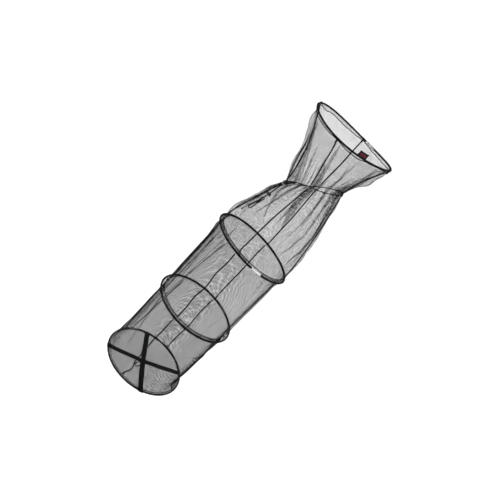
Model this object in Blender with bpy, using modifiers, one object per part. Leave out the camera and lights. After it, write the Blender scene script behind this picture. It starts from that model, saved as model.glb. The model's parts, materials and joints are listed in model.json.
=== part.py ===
"""A fishing keepnet: a tube of fine netting on four wire hoops, drawn in at a neck by a drawcord.

Metres, +Z up. The net hangs by its mouth hoop, whose centre is the origin, and its bottom is down.
Angles round the net are in degrees from +X, and -90 is its front.
"""

from math import asin, atan2, ceil, cos, degrees, exp, floor, pi, radians, sin

import bmesh
import bpy
from mathutils import Matrix, Vector, geometry

# Hoops: a round wire whose two ends meet inside a metal ferrule
HOOP_RADIUS = 0.200
WIRE_RADIUS = 0.0032
WIRE_END_GAP = 0.0010
FERRULE_LENGTH = 0.052
FERRULE_WALL = 0.0012
FERRULE_FIT = 0.0005
FERRULE_SIDES = 12
RING_STEPS = 40
FERRULE_ANGLE = {"mouth": 67.5, "upper": -67.5, "middle": 58.5, "bottom": 139.5}

# Levels of the net, down from the mouth, as it hangs: each hoop leans a little its own way
NECK_DROP = 0.268
NECK_BAY = 0.391
MIDDLE_BAY = 0.417
BOTTOM_BAY = 0.407
NECK_SHIFT = 0.017
NECK_LEAN = -30.3
UPPER_SHIFT = 0.0054
UPPER_LEAN = (-3.4, 4.6)
MIDDLE_LEAN = (0.7, 1.4)
BOTTOM_SHIFT = (-0.0076, -0.0039)
BOTTOM_LEAN = (3.5, -1.4)
MOUTH_WARP = 0.0087
MOUTH_WARP_ANGLE = -13.7

# Neck: a flat pinched loop with a small and a large round end
NECK_HALF_WIDTH = 0.130
NECK_SMALL_END = 0.015
NECK_LARGE_END = 0.022
NECK_WARP = 0.007
NECK_WARP_ANGLE = 45.0

# Hems and sleeves: a strip of cloth folded round the wire, with its seam on the netting
HEM_CLOTH = 0.0008
HEM_FIT = 0.0004
HEM_LEAF_GAP = 0.0012
HEM_END_GAP = 0.0020
MOUTH_SEAM_IN = 0.004
MOUTH_SEAM_DROP = 0.009
MOUTH_SCALLOP = 0.005
SLEEVE_SEAM_IN = 0.012
SLEEVE_SEAM_RISE = 0.0075
BOTTOM_SEAM_IN = 0.010
BOTTOM_SEAM_RISE = 0.007
CASING_SEAM_IN = 0.006

# Netting
NET_WALL = 0.0010
NET_GAP = 0.0004
NECK_NET_GAP = 0.0026
PLEAT_DEPTH = 0.003
PLEAT_FADE = 1.6
MOUTH_FLARE = (1.0, 1.3)
NECK_FLARE = (1.75, 1.55)
MOUTH_ROWS = (0.0, 0.22, 0.45, 0.68, 0.86, 1.0)
NECK_ROWS = (0.0, 0.12, 0.28, 0.5, 0.75, 1.0)
MESH_ROWS = 3
MESH_BAR = 0.006
PANEL_RINGS = (0.3, 0.65)
SEAT_GAP = 0.0003

# Four support cords, each tied to every hoop and to the neck
CORD_RADIUS = 0.0020
CORD_ANGLE = {"front": -101.0, "right": -11.0, "back": 79.0, "left": 169.0}
CORD_ROWS = (0.0, 0.1, 0.25, 0.45, 0.7, 1.0)
TIE_SHIFT = 0.0050
NECK_CORD_OUT = 0.004
TIE_SIDE = {"front": 1.0, "right": 1.0, "back": -1.0, "left": -1.0}
MOUTH_HOOK = (130.0, 85.0, 40.0, -5.0, -50.0)
FOOT_HOOK = (55.0, 5.0, -45.0, -95.0)

# Two tapes crossed under the bottom, and the loop at their crossing
TAPE_WIDTH = 0.020
TAPE_THICKNESS = 0.0012
TAPE_SAG = 0.010
TAPE_ANGLES = {"upper_tape": (-154.0, 34.0), "lower_tape": (114.0, -65.0)}
TAPE_SPANS = 9
TAPE_WRAP = (50.0, 5.0, -40.0, -90.0)
LOOP_CORD_RADIUS = 0.0015
LOOP_LENGTH = 0.036
LOOP_WIDTH = 0.014
LOOP_STUB = 0.0045
LOOP_POINTS = 9
LOOP_SWING = 62.0

# Drawcord: round the neck in its casing, out at one end as two legs
DRAWCORD_RADIUS = 0.0015
DRAWCORD_EXIT_ANGLE = -165.0
DRAWCORD_EXIT_GAP = 0.0085
EXIT_BEND_SHARE = 0.3
EXIT_ENTRY_SHARE = 0.85
LEG_OVER_RING = 0.003
LEG_CURVE_STEPS = 3
LEG_SPACING = 0.0036
RING_AT = (0.12, -148.0)
KNOT_AT = (0.395, -140.5)
HANK_FOOT_AT = (0.66, -143.5)
LEG_CLEAR = 0.0125
RING_RADIUS = 0.0058
RING_THICKNESS = 0.0013
RING_BELOW_TOP = 0.0039
RING_STEPS_ROUND = 16

# Cord lock: a sprung button in a cup, both with a slot for the two legs
LOCK_RADIUS = 0.0066
LOCK_LENGTH = 0.0165
LOCK_WALL = 0.0012
LOCK_FIT = 0.0003
LOCK_FLOOR = 0.0016
LOCK_ROUNDING = 0.0007
LOCK_SLOT_FIT = 0.0003
LOCK_SLOT_CENTRE = 0.0105
LOCK_ABOVE_KNOT = 0.0125
BUTTON_TRAVEL = 0.0030
BUTTON_PROUD = 0.0050
SPRING_WIRE = 0.00035
SPRING_WIDTH_SHARE = 0.7
SPRING_TURNS = 3
SPRING_POINTS = 9

# Hank: the drawcord's spare length, folded to and fro and tied at its waist
HANK_LOOPS = 2
HANK_LENGTH = 0.078
HANK_WIDTH = 0.0145
HANK_WAIST = 0.0066
HANK_WAIST_AT = 0.36
HANK_WAIST_REACH = 0.016
HANK_STEP = 0.0038
HANK_START = 0.008
HANK_TAIL = 0.024
HANK_RUN_POINTS = 8
HANK_TURN_POINTS = 4
TIE_BAND_HEIGHT = 0.007
TIE_BAND_WALL = 0.0008
TIE_BAND_FIT = 0.0005
TIE_BAND_SIDES = 16
TIE_BAND_SQUARENESS = 1.45
KNOT_RADIUS = 0.0042
END_KNOT_RADIUS = 0.0034

# Label: a folded flag on the mouth hem
LABEL_ANGLES = (-73.0, -60.0)
LABEL_HEIGHT = 0.027
LABEL_THICKNESS = 0.0009
LABEL_FOOT = 0.005
PATCH_MARGIN = 0.0045
PATCH_THICKNESS = 0.0006

FACET = 360.0 / RING_STEPS
BEVEL_STEPS = 2
FINE_BEVEL_STEPS = 1
SLEEVE_TURN_STEPS = 3
TURNED_SIDES = 20
SHARP_ANGLE = 50.0
LEAST_ANGLE = 0.1
SLOPE_SHARE = 0.02
NEIGHBOUR_RADII = 8.0
MERGE = 0.00001

MATERIALS = {
    "wire": ((0.025, 0.025, 0.027), 0.45, 0.0),
    "ferrule": ((0.72, 0.73, 0.74), 0.30, 1.0),
    "netting": ((0.035, 0.035, 0.037), 0.80, 0.0),
    "hem_cloth": ((0.030, 0.030, 0.032), 0.85, 0.0),
    "cord": ((0.028, 0.028, 0.030), 0.75, 0.0),
    "tape": ((0.035, 0.035, 0.038), 0.80, 0.0),
    "lock_plastic": ((0.020, 0.020, 0.021), 0.40, 0.0),
    "spring_steel": ((0.60, 0.60, 0.61), 0.30, 1.0),
    "label_backing": ((0.030, 0.025, 0.026), 0.80, 0.0),
    "label_patch": ((0.250, 0.030, 0.035), 0.60, 0.0),
}


class Ring:
    """A level of the net: where its outline lies, as a hull of a large and a small circle.

    A hoop's two circles are one and the same. Places on it are given by the angle round it, how
    far out from the outline and how far up along the ring's own axis.
    """

    def __init__(self, centre, lean, half_width, small, large, warp=0.0, warp_angle=0.0):
        self.centre = Vector(centre)
        self.turn = (Matrix.Rotation(radians(lean[1]), 3, "Y")
                     @ Matrix.Rotation(radians(lean[0]), 3, "X"))
        self.small = small
        self.large = large
        self.half_width = half_width
        self.warp = warp
        self.warp_angle = warp_angle
        self.apart = 2 * half_width - small - large
        self.slope = asin((large - small) / self.apart) if self.apart > MERGE else 0.0
        self.large_arc = large * (pi / 2 + self.slope)
        self.side = self.apart * cos(self.slope)
        self.small_arc = small * (pi / 2 - self.slope)

    def half_round(self):
        """The outline's length from its large end to its small end."""
        return self.large_arc + self.side + self.small_arc

    def outline(self, angle):
        """The outline's point and outward direction, evenly spaced round its length."""
        angle = (angle + 180.0) % 360.0 - 180.0
        side = -1.0 if angle < 0 else 1.0
        run = abs(angle) / 180.0 * self.half_round()
        corner = pi / 2 + self.slope
        if run < self.large_arc:
            facing = run / self.large
            centre, radius, along = self.half_width - self.large, self.large, 0.0
        elif run < self.large_arc + self.side:
            facing = corner
            centre, radius, along = self.half_width - self.large, self.large, run - self.large_arc
        else:
            facing = corner + (run - self.large_arc - self.side) / self.small
            centre, radius, along = self.small - self.half_width, self.small, 0.0
        normal = Vector((cos(facing), side * sin(facing), 0.0))
        tangent = Vector((-sin(corner), side * cos(corner), 0.0))
        return Vector((centre, 0.0, 0.0)) + normal * radius + tangent * along, normal

    def spot(self, angle, out=0.0, lift=0.0):
        point, normal = self.outline(angle)
        rise = self.warp * cos(radians(2 * (angle - self.warp_angle)))
        return self.centre + self.turn @ (point + normal * out + Vector((0, 0, lift + rise)))

    def place(self, angle, out=0.0, lift=0.0):
        """A spot on the ring's straight facets, so that what sits on the wire meets it."""
        step = angle / FACET - 0.5
        low = floor(step)
        start = self.spot((low + 0.5) * FACET, out, lift)
        end = self.spot((low + 1.5) * FACET, out, lift)
        return start.lerp(end, step - low)

    def angle_of(self, length):
        """The angle that a length along the outline takes."""
        return 180.0 * length / self.half_round()

    def arm(self, angle, out=0.0, lift=0.0):
        return self.place(angle, out, lift) - self.centre


def facet_angles():
    return [(k + 0.5) * FACET for k in range(RING_STEPS)]


def open_angles(start, end):
    """Angles from start to end, with every facet's corner between them."""
    corners = [(k + 0.5) * FACET for k in range(-2 * RING_STEPS, 2 * RING_STEPS)]
    inside = [a for a in corners if start + LEAST_ANGLE < a < end - LEAST_ANGLE]
    return [start] + inside + [end]


def material(name):
    found = bpy.data.materials.get(name)
    if found:
        return found
    colour, roughness, metallic = MATERIALS[name]
    made = bpy.data.materials.new(name)
    made.use_nodes = True
    shader = made.node_tree.nodes["Principled BSDF"]
    shader.inputs["Base Color"].default_value = (*colour, 1.0)
    shader.inputs["Roughness"].default_value = roughness
    shader.inputs["Metallic"].default_value = metallic
    return made


def collection(name):
    made = bpy.data.collections.new(name)
    bpy.context.scene.collection.children.link(made)
    return made


def add_object(name, data, slot):
    made = bpy.data.objects.new(name, data)
    PARTS.objects.link(made)
    data.materials.append(material(slot))
    return made


def add_bmesh(name, bm, slot):
    mesh = bpy.data.meshes.new(name)
    bm.to_mesh(mesh)
    bm.free()
    mesh.shade_smooth()
    mesh.set_sharp_from_angle(angle=radians(SHARP_ANGLE))
    return add_object(name, mesh, slot)


def add_solidify(obj, thickness):
    shell = obj.modifiers.new("wall", "SOLIDIFY")
    shell.thickness = thickness
    shell.offset = 0.0
    shell.use_even_offset = True
    return obj


def add_cut(obj, cutter):
    cut = obj.modifiers.new("cut", "BOOLEAN")
    cut.operation = "DIFFERENCE"
    cut.solver = "EXACT"
    cut.object = cutter
    CUTTERS.objects.link(cutter)
    cutter.hide_render = True
    cutter.display_type = "WIRE"


def add_tube(name, points, radius, slot, bevel_steps=BEVEL_STEPS):
    """A cord or wire along a run of points."""
    curve = bpy.data.curves.new(name, "CURVE")
    curve.dimensions = "3D"
    curve.bevel_depth = radius
    curve.bevel_resolution = bevel_steps
    curve.use_fill_caps = True
    line = curve.splines.new("POLY")
    line.points.add(len(points) - 1)
    for target, point in zip(line.points, points):
        target.co = (*point, 1.0)
    return add_object(name, curve, slot)


def add_grid(name, rows, slot, thickness, round_across=False, is_open=None):
    """A loft with a wall: neighbouring rows of points are joined by faces, but for openings."""
    bm = bmesh.new()
    grid = [[bm.verts.new(point) for point in row] for row in rows]
    wide = len(grid[0])
    for i, (upper, lower) in enumerate(zip(grid, grid[1:])):
        for j in range(wide if round_across else wide - 1):
            if is_open and is_open(i, j):
                continue
            k = (j + 1) % wide
            bm.faces.new((upper[j], lower[j], lower[k], upper[k]))
    bm.normal_update()
    return add_solidify(add_bmesh(name, bm, slot), thickness)


def frame_at(origin, along, outward):
    """A frame with +Z along one direction and +Y as near as it can to another."""
    z = along.normalized()
    x = outward.cross(z).normalized()
    y = z.cross(x)
    turned = Matrix((x, y, z)).transposed().to_4x4()
    turned.translation = origin
    return turned


def add_ball(name, frame, radius, slot):
    bm = bmesh.new()
    bmesh.ops.create_icosphere(bm, subdivisions=2, radius=radius)
    bmesh.ops.transform(bm, matrix=frame, verts=bm.verts)
    return add_bmesh(name, bm, slot)


# The rings, from the mouth down
def hoop_ring(centre, lean, warp=0.0, warp_angle=0.0):
    return Ring(centre, lean, HOOP_RADIUS, HOOP_RADIUS, HOOP_RADIUS, warp, warp_angle)


UPPER_Z = -(NECK_DROP + NECK_BAY)
MIDDLE_Z = UPPER_Z - MIDDLE_BAY
BOTTOM_Z = MIDDLE_Z - BOTTOM_BAY
RINGS = {
    "mouth": hoop_ring((0, 0, 0), (0, 0), MOUTH_WARP, MOUTH_WARP_ANGLE),
    "neck": Ring((NECK_SHIFT, 0, -NECK_DROP), (0, NECK_LEAN), NECK_HALF_WIDTH,
                 NECK_SMALL_END, NECK_LARGE_END, NECK_WARP, NECK_WARP_ANGLE),
    "upper": hoop_ring((UPPER_SHIFT, 0, UPPER_Z), UPPER_LEAN),
    "middle": hoop_ring((0, 0, MIDDLE_Z), MIDDLE_LEAN),
    "bottom": hoop_ring((*BOTTOM_SHIFT, BOTTOM_Z), BOTTOM_LEAN),
}
HOOPS = ("mouth", "upper", "middle", "bottom")


def seam(level, angle):
    """Where a level's seam lies: how far out from the wire, and how far up."""
    if level == "mouth":
        swing = abs(sin(radians(2 * (angle - CORD_ANGLE["front"]))))
        return -MOUTH_SEAM_IN, -MOUTH_SEAM_DROP - MOUTH_SCALLOP * swing
    if level == "neck":
        return -CASING_SEAM_IN, 0.0
    if level == "bottom":
        return -BOTTOM_SEAM_IN, BOTTOM_SEAM_RISE
    return -SLEEVE_SEAM_IN, SLEEVE_SEAM_RISE


def core_radius(level):
    return DRAWCORD_RADIUS if level == "neck" else WIRE_RADIUS


def fold_radius(level):
    """From the wire's centre to the corners of the cloth folded round it."""
    inside = core_radius(level) + HEM_FIT
    return inside / cos(radians(180.0 / SLEEVE_TURN_STEPS / 2)) + HEM_CLOTH / 2


def hem_outside(level):
    return fold_radius(level) + HEM_CLOTH / 2


def hem_section(level, angle):
    """The folded strip's section: from its seam, round the far side of the wire and back."""
    out, lift = seam(level, angle)
    facing = degrees(atan2(lift, out))
    half_gap = (HEM_LEAF_GAP + HEM_CLOTH) / 2
    first = radians(facing + 90)
    section = [(out + half_gap * cos(first), lift + half_gap * sin(first))]
    for k in range(SLEEVE_TURN_STEPS + 1):
        turned = radians(facing + 90 + 180.0 * k / SLEEVE_TURN_STEPS)
        section.append((fold_radius(level) * cos(turned), fold_radius(level) * sin(turned)))
    section.append((out - half_gap * cos(first), lift - half_gap * sin(first)))
    return section


def net_out(level, angle):
    """How far out from the wire the netting's mid-surface passes a level."""
    section = hem_section(level, angle)
    edge = min(section[0][0], section[-1][0])
    gap = NECK_NET_GAP if level == "neck" else NET_GAP
    return edge - HEM_CLOTH / 2 - gap - NET_WALL / 2


def add_hoop(level):
    ring = RINGS[level]
    seat = FERRULE_ANGLE[level]
    gap = ring.angle_of(WIRE_END_GAP / 2)
    angles = open_angles(seat + gap, seat + 360.0 - gap)
    add_tube(level + "_hoop", [ring.place(a) for a in angles], WIRE_RADIUS, "wire")


def add_ferrule(level):
    ring = RINGS[level]
    seat = FERRULE_ANGLE[level]
    half = ring.angle_of(FERRULE_LENGTH / 2)
    radius = WIRE_RADIUS + FERRULE_FIT + FERRULE_WALL / 2
    rows = []
    for angle in open_angles(seat - half, seat + half):
        row = []
        for k in range(FERRULE_SIDES):
            turned = 2 * pi * k / FERRULE_SIDES
            row.append(ring.place(angle, radius * cos(turned), radius * sin(turned)))
        rows.append(row)
    add_grid(level + "_ferrule", rows, "ferrule", FERRULE_WALL, round_across=True)


def add_hem(level, name):
    """A hem or sleeve, open where the ferrule shows; the neck's casing is open at the exit."""
    ring = RINGS[level]
    if level == "neck":
        seat = DRAWCORD_EXIT_ANGLE
        half = ring.angle_of(DRAWCORD_EXIT_GAP)
    else:
        seat = FERRULE_ANGLE[level]
        half = ring.angle_of(FERRULE_LENGTH / 2 + HEM_END_GAP)
    rows = []
    for angle in open_angles(seat + half, seat + 360.0 - half):
        rows.append([ring.place(angle, out, lift) for out, lift in hem_section(level, angle)])
    add_grid(name, rows, "hem_cloth", HEM_CLOTH)


def between(upper, lower, share, flare, angle, top, foot):
    """A place between two rings; top and foot are its (out, lift) at each of them.

    The flare bends the way from one outline to the other, across the net and front to back.
    """
    first = RINGS[upper].arm(angle, *top)
    last = RINGS[lower].arm(angle, *foot)
    wide = 1.0 - (1.0 - share) ** flare[0]
    deep = 1.0 - (1.0 - share) ** flare[1]
    centre = RINGS[upper].centre.lerp(RINGS[lower].centre, share)
    return centre + Vector((first.x + (last.x - first.x) * wide,
                            first.y + (last.y - first.y) * deep,
                            first.z + (last.z - first.z) * wide))


FLARES = {"mouth": MOUTH_FLARE, "neck": NECK_FLARE, "middle": (1.0, 1.0), "bottom": (1.0, 1.0)}
BAYS = (
    ("mouth", "mouth", "neck", MOUTH_ROWS),
    ("neck", "neck", "upper", NECK_ROWS),
    ("middle", "upper", "middle", None),
    ("bottom", "middle", "bottom", None),
)


def edge_rest(level):
    """How far a bay's edge stays from its seam; at the neck both edges lean towards each other."""
    return (SEAT_GAP + NET_WALL) / 2 if level == "neck" else SEAT_GAP / 2


def net_place(bay, upper, lower, share, angle, deeper=0.0, proud=0.0):
    """The netting's mid-surface between two seams, or a place off it."""
    top_lift = seam(upper, angle)[1] - edge_rest(upper)
    foot_lift = seam(lower, angle)[1] + edge_rest(lower)
    top = (net_out(upper, angle) - deeper + proud, top_lift)
    foot = (net_out(lower, angle) - deeper + proud, foot_lift)
    return between(upper, lower, share, FLARES[bay], angle, top, foot)


def add_gathered_netting(bay, upper, lower, shares):
    """A cone of netting; next to the neck every second facet's corner is gathered inwards."""
    rows = []
    for share in shares:
        nearness = {"mouth": share, "neck": 1.0 - share}.get(bay, 0.0)
        pleat = PLEAT_DEPTH * nearness ** PLEAT_FADE
        row = []
        for k, angle in enumerate(facet_angles()):
            row.append(net_place(bay, upper, lower, share, angle, pleat * (k % 2)))
        rows.append(row)
    add_grid(bay + "_netting", rows, "netting", NET_WALL, round_across=True)


def mesh_angles(upper):
    """A straight bay's columns: a bar on every second facet's corner, and the corner between."""
    half = RINGS[upper].angle_of(MESH_BAR / 2)
    corners = facet_angles()
    columns = []
    for bar, middle in zip(corners[::2], corners[1::2]):
        columns += [bar - half, bar + half, middle]
    return columns


def mesh_shares(upper, lower):
    """A straight bay's rows: both edges of each level bar."""
    bar = MESH_BAR / (RINGS[upper].centre - RINGS[lower].centre).length
    step = (1.0 - bar) / MESH_ROWS
    shares = []
    for k in range(MESH_ROWS + 1):
        shares += [k * step, k * step + bar]
    return shares


def add_straight_netting(bay, upper, lower):
    """A straight bay, whose netting stands as bars round a plain grid of openings."""
    angles = mesh_angles(upper)
    rows = [[net_place(bay, upper, lower, share, angle) for angle in angles]
            for share in mesh_shares(upper, lower)]
    add_grid(bay + "_netting", rows, "netting", NET_WALL, round_across=True,
             is_open=lambda row, column: row % 2 == 1 and column % 3 > 0)


def widest_step(angles):
    return max(abs(b - a) for a, b in zip(angles, angles[1:]))


def tape_radius():
    """From the wire's centre to the corners of the tape folded round it."""
    inside = hem_outside("bottom") + SEAT_GAP
    return inside / cos(radians(widest_step(TAPE_WRAP) / 2)) + TAPE_THICKNESS / 2


def add_bottom_panel():
    """A dish of netting closing the foot, sagging onto the crossed tapes."""
    ring = RINGS["bottom"]
    rim_out = net_out("bottom", 0.0) - NET_WALL - NET_GAP
    rim_lift = BOTTOM_SEAM_RISE
    low = -tape_radius() - TAPE_SAG + TAPE_THICKNESS / 2 + SEAT_GAP + NET_WALL / 2
    bm = bmesh.new()
    rows = []
    for share in (*PANEL_RINGS, 1.0):
        lift = low + (rim_lift - low) * share ** 2
        row = []
        for angle in facet_angles():
            centre = ring.centre + ring.turn @ Vector((0, 0, lift))
            row.append(bm.verts.new(centre.lerp(ring.place(angle, rim_out, lift), share)))
        rows.append(row)
    middle = bm.verts.new(ring.centre + ring.turn @ Vector((0, 0, low)))
    for j in range(RING_STEPS):
        k = (j + 1) % RING_STEPS
        bm.faces.new((middle, rows[0][j], rows[0][k]))
        for inner, outer in zip(rows, rows[1:]):
            bm.faces.new((inner[j], outer[j], outer[k], inner[k]))
    add_solidify(add_bmesh("bottom_netting_panel", bm, "netting"), NET_WALL)


def hook(level, swings):
    """A support cord's turn round a ring's cloth, as (out, lift) at angles seen along the wire."""
    half_step = radians(widest_step(swings) / 2)
    radius = (hem_outside(level) + SEAT_GAP + CORD_RADIUS) / cos(half_step)
    return [(radius * cos(radians(a)), radius * sin(radians(a))) for a in swings]


def add_cord(side, bay, upper, lower):
    """A support cord in one bay: it starts under one ring and hooks round the next.

    In the two cones it follows the netting's outside. The next bay's cord starts beside the hook.
    """
    angle = CORD_ANGLE[side]
    first = angle - TIE_SIDE[side] * RINGS[upper].angle_of(TIE_SHIFT / 2)
    last = angle + TIE_SIDE[side] * RINGS[lower].angle_of(TIE_SHIFT / 2)
    foot_hook = hook(lower, FOOT_HOOK)
    points = []
    top = (0.0, -hem_outside(upper) - SEAT_GAP)
    if upper == "neck":
        top = (NECK_CORD_OUT, top[1] - CORD_RADIUS)
    if upper == "mouth":
        over = hook(upper, MOUTH_HOOK)
        points += [RINGS[upper].place(first, *place) for place in over[:-1]]
        top = over[-1]
    for share in CORD_ROWS if bay in ("mouth", "neck") else (0.0, 1.0):
        points.append(between(upper, lower, share, FLARES[bay], first + (last - first) * share,
                              top, foot_hook[0]))
    points += [RINGS[lower].place(last, *place) for place in foot_hook[1:]]
    add_tube(f"{side}_cord_{bay}_bay", points, CORD_RADIUS, "cord", FINE_BEVEL_STEPS)


def tape_rows(start, end, drop):
    """A tape's rows of points: round the wire at each end, and sagging between them."""
    ring = RINGS["bottom"]
    half = ring.angle_of(TAPE_WIDTH / 2)
    radius = tape_radius()
    wrap = [radians(a) for a in TAPE_WRAP]
    across = (-1, 0, 1)

    def wrapped(angle, order, side):
        return [[ring.place(angle + side * w * half, radius * cos(a), radius * sin(a))
                 for w in across] for a in order]

    first = wrapped(start, wrap, 1)
    last = wrapped(end, wrap[::-1], -1)
    down = ring.turn @ Vector((0, 0, -1))
    span = []
    for k in range(1, TAPE_SPANS):
        share = k / TAPE_SPANS
        middle_share = (TAPE_SPANS // 2) / TAPE_SPANS
        level_share = min(share, 1 - share, middle_share)
        sag = (TAPE_SAG + drop) * 4 * level_share * (1 - level_share)
        sag = sag / (4 * middle_share * (1 - middle_share))
        span.append([a.lerp(b, share) + down * sag for a, b in zip(first[-1], last[0])])
    return first + span + last


def add_tapes():
    drops = {"upper_tape": 0.0, "lower_tape": TAPE_THICKNESS + SEAT_GAP}
    for name, (start, end) in TAPE_ANGLES.items():
        add_grid(name, tape_rows(start, end, drops[name]), "tape", TAPE_THICKNESS)


def tape_crossing():
    """Where the two tapes cross, seen along the bottom hoop's axis."""
    ends = [[RINGS["bottom"].outline(angle)[0].to_2d() for angle in pair]
            for pair in TAPE_ANGLES.values()]
    return geometry.intersect_line_line_2d(*ends[0], *ends[1])


def add_bottom_loop():
    """A loop of cord sewn under the crossing, swung to the front."""
    ring = RINGS["bottom"]
    lift = -tape_radius() - TAPE_SAG - 1.5 * TAPE_THICKNESS - 2 * SEAT_GAP
    half = LOOP_WIDTH / 2
    start = ring.centre + ring.turn @ Vector((*tape_crossing(), lift))
    turned = Matrix.Rotation(radians(-LOOP_SWING), 3, "X")
    points = [Vector((-half, 0, 0)), Vector((-half, 0, -LOOP_STUB))]
    reach = LOOP_LENGTH - half
    for k in range(LOOP_POINTS):
        swing = pi * k / (LOOP_POINTS - 1)
        local = Vector((-half * cos(swing), 0, LOOP_STUB - reach - half * sin(swing)))
        points.append(Vector((0, 0, -LOOP_STUB)) + turned @ local)
    points += [Vector((half, 0, -LOOP_STUB)), Vector((half, 0, 0))]
    add_tube("bottom_loop", [start + point for point in points], LOOP_CORD_RADIUS, "cord",
             FINE_BEVEL_STEPS)


def surface_frame(at, clear):
    """A point clear of the neck bay's netting, and the outward direction there."""
    share, angle = at
    place = net_place("neck", "neck", "upper", share, angle)
    along = net_place("neck", "neck", "upper", share + SLOPE_SHARE, angle) - place
    across = net_place("neck", "neck", "upper", share, angle + FACET / 2) - place
    outward = across.cross(along).normalized()
    if outward.dot(place - Vector((NECK_SHIFT, 0, place.z))) < 0:
        outward = -outward
    return place + outward * clear, outward


def legs_frame():
    """The frame of the drawcord's straight legs, from the knot up to the ring."""
    ring_point, _ = surface_frame(RING_AT, LEG_CLEAR)
    knot_point, outward = surface_frame(KNOT_AT, LEG_CLEAR)
    return frame_at(knot_point, ring_point - knot_point, outward), (ring_point - knot_point).length


def smooth(points, steps):
    """Points along a smooth curve through the given ones."""
    found = []
    padded = [points[0] * 2 - points[1], *points, points[-1] * 2 - points[-2]]
    for i in range(1, len(padded) - 2):
        a, b, c, d = padded[i - 1:i + 3]
        for k in range(steps):
            t = k / steps
            found.append(0.5 * (2 * b + (c - a) * t + (2 * a - 5 * b + 4 * c - d) * t * t
                                + (3 * b - a - 3 * c + d) * t ** 3))
    return found + [points[-1]]


def add_drawcord():
    """One cord: up from the knot through the ring, round the neck and back beside itself."""
    ring = RINGS["neck"]
    frame, length = legs_frame()
    seat = DRAWCORD_EXIT_ANGLE
    near = ring.angle_of(DRAWCORD_EXIT_GAP)
    path = []
    for side in (1, -1):
        offset = Vector((0, side * LEG_SPACING / 2, 0))
        start = frame @ (offset + Vector((0, 0, KNOT_RADIUS + SEAT_GAP)))
        top = frame @ (offset + Vector((0, 0, length)))
        over = frame @ (offset + Vector((0, 0, length + LEG_OVER_RING)))
        bend = ring.place(seat + side * near * EXIT_BEND_SHARE)
        entry = ring.place(seat + side * near * EXIT_ENTRY_SHARE)
        path.append([start] + smooth([top, over, bend, entry], LEG_CURVE_STEPS))
    inside = near * EXIT_ENTRY_SHARE
    angles = open_angles(seat + inside, seat + 360.0 - inside)
    points = path[0] + [ring.place(a) for a in angles[1:-1]] + path[1][::-1]
    add_tube("neck_drawcord", points, DRAWCORD_RADIUS, "cord")


def add_drawcord_ring():
    """The ring that both legs of the drawcord pass through."""
    frame, length = legs_frame()
    at = frame @ Matrix.Translation((0, 0, length - RING_BELOW_TOP))
    points = []
    for k in range(RING_STEPS_ROUND):
        turned = 2 * pi * k / RING_STEPS_ROUND
        points.append(at @ Vector((RING_RADIUS * cos(turned), RING_RADIUS * sin(turned), 0)))
    ring = add_tube("drawcord_ring", points, RING_THICKNESS, "ferrule", FINE_BEVEL_STEPS)
    ring.data.splines[0].use_cyclic_u = True


def lock_frame():
    """The cord lock's frame: its own +Z is the button's axis, across the legs."""
    frame, _ = legs_frame()
    across = frame.to_3x3() @ Vector((1, 0, 0))
    along = frame.to_3x3() @ Vector((0, 0, 1))
    centre = frame @ Vector((0, 0, KNOT_RADIUS + LOCK_ABOVE_KNOT))
    return frame_at(centre - across * LOCK_SLOT_CENTRE, across, along)


def turned_solid(name, profile, frame, slot):
    """A turned solid: a closed profile of (radius, height), from its axis round to its axis."""
    mesh = bpy.data.meshes.new(name)
    bm = bmesh.new()
    verts = [bm.verts.new((radius, 0.0, height)) for radius, height in profile]
    for a, b in zip(verts, verts[1:]):
        bm.edges.new((a, b))
    bm.to_mesh(mesh)
    bm.free()
    obj = add_object(name, mesh, slot)
    turn = obj.modifiers.new("turn", "SCREW")
    turn.axis = "Z"
    turn.steps = TURNED_SIDES
    turn.render_steps = TURNED_SIDES
    turn.use_merge_vertices = True
    turn.merge_threshold = MERGE
    obj.matrix_world = frame
    return obj


def slot_cutter(name, frame, low, high):
    """A box that cuts the legs' slot through a turned piece, from low to high along its axis."""
    wide = 2 * (DRAWCORD_RADIUS + LOCK_SLOT_FIT) + LEG_SPACING
    right_through = 4 * LOCK_RADIUS
    bm = bmesh.new()
    bmesh.ops.create_cube(bm, size=1.0)
    bmesh.ops.scale(bm, vec=(wide, right_through, high - low), verts=bm.verts)
    bmesh.ops.translate(bm, vec=(0, 0, (low + high) / 2), verts=bm.verts)
    mesh = bpy.data.meshes.new(name)
    bm.to_mesh(mesh)
    bm.free()
    cutter = bpy.data.objects.new(name, mesh)
    cutter.matrix_world = frame
    return cutter


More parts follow.
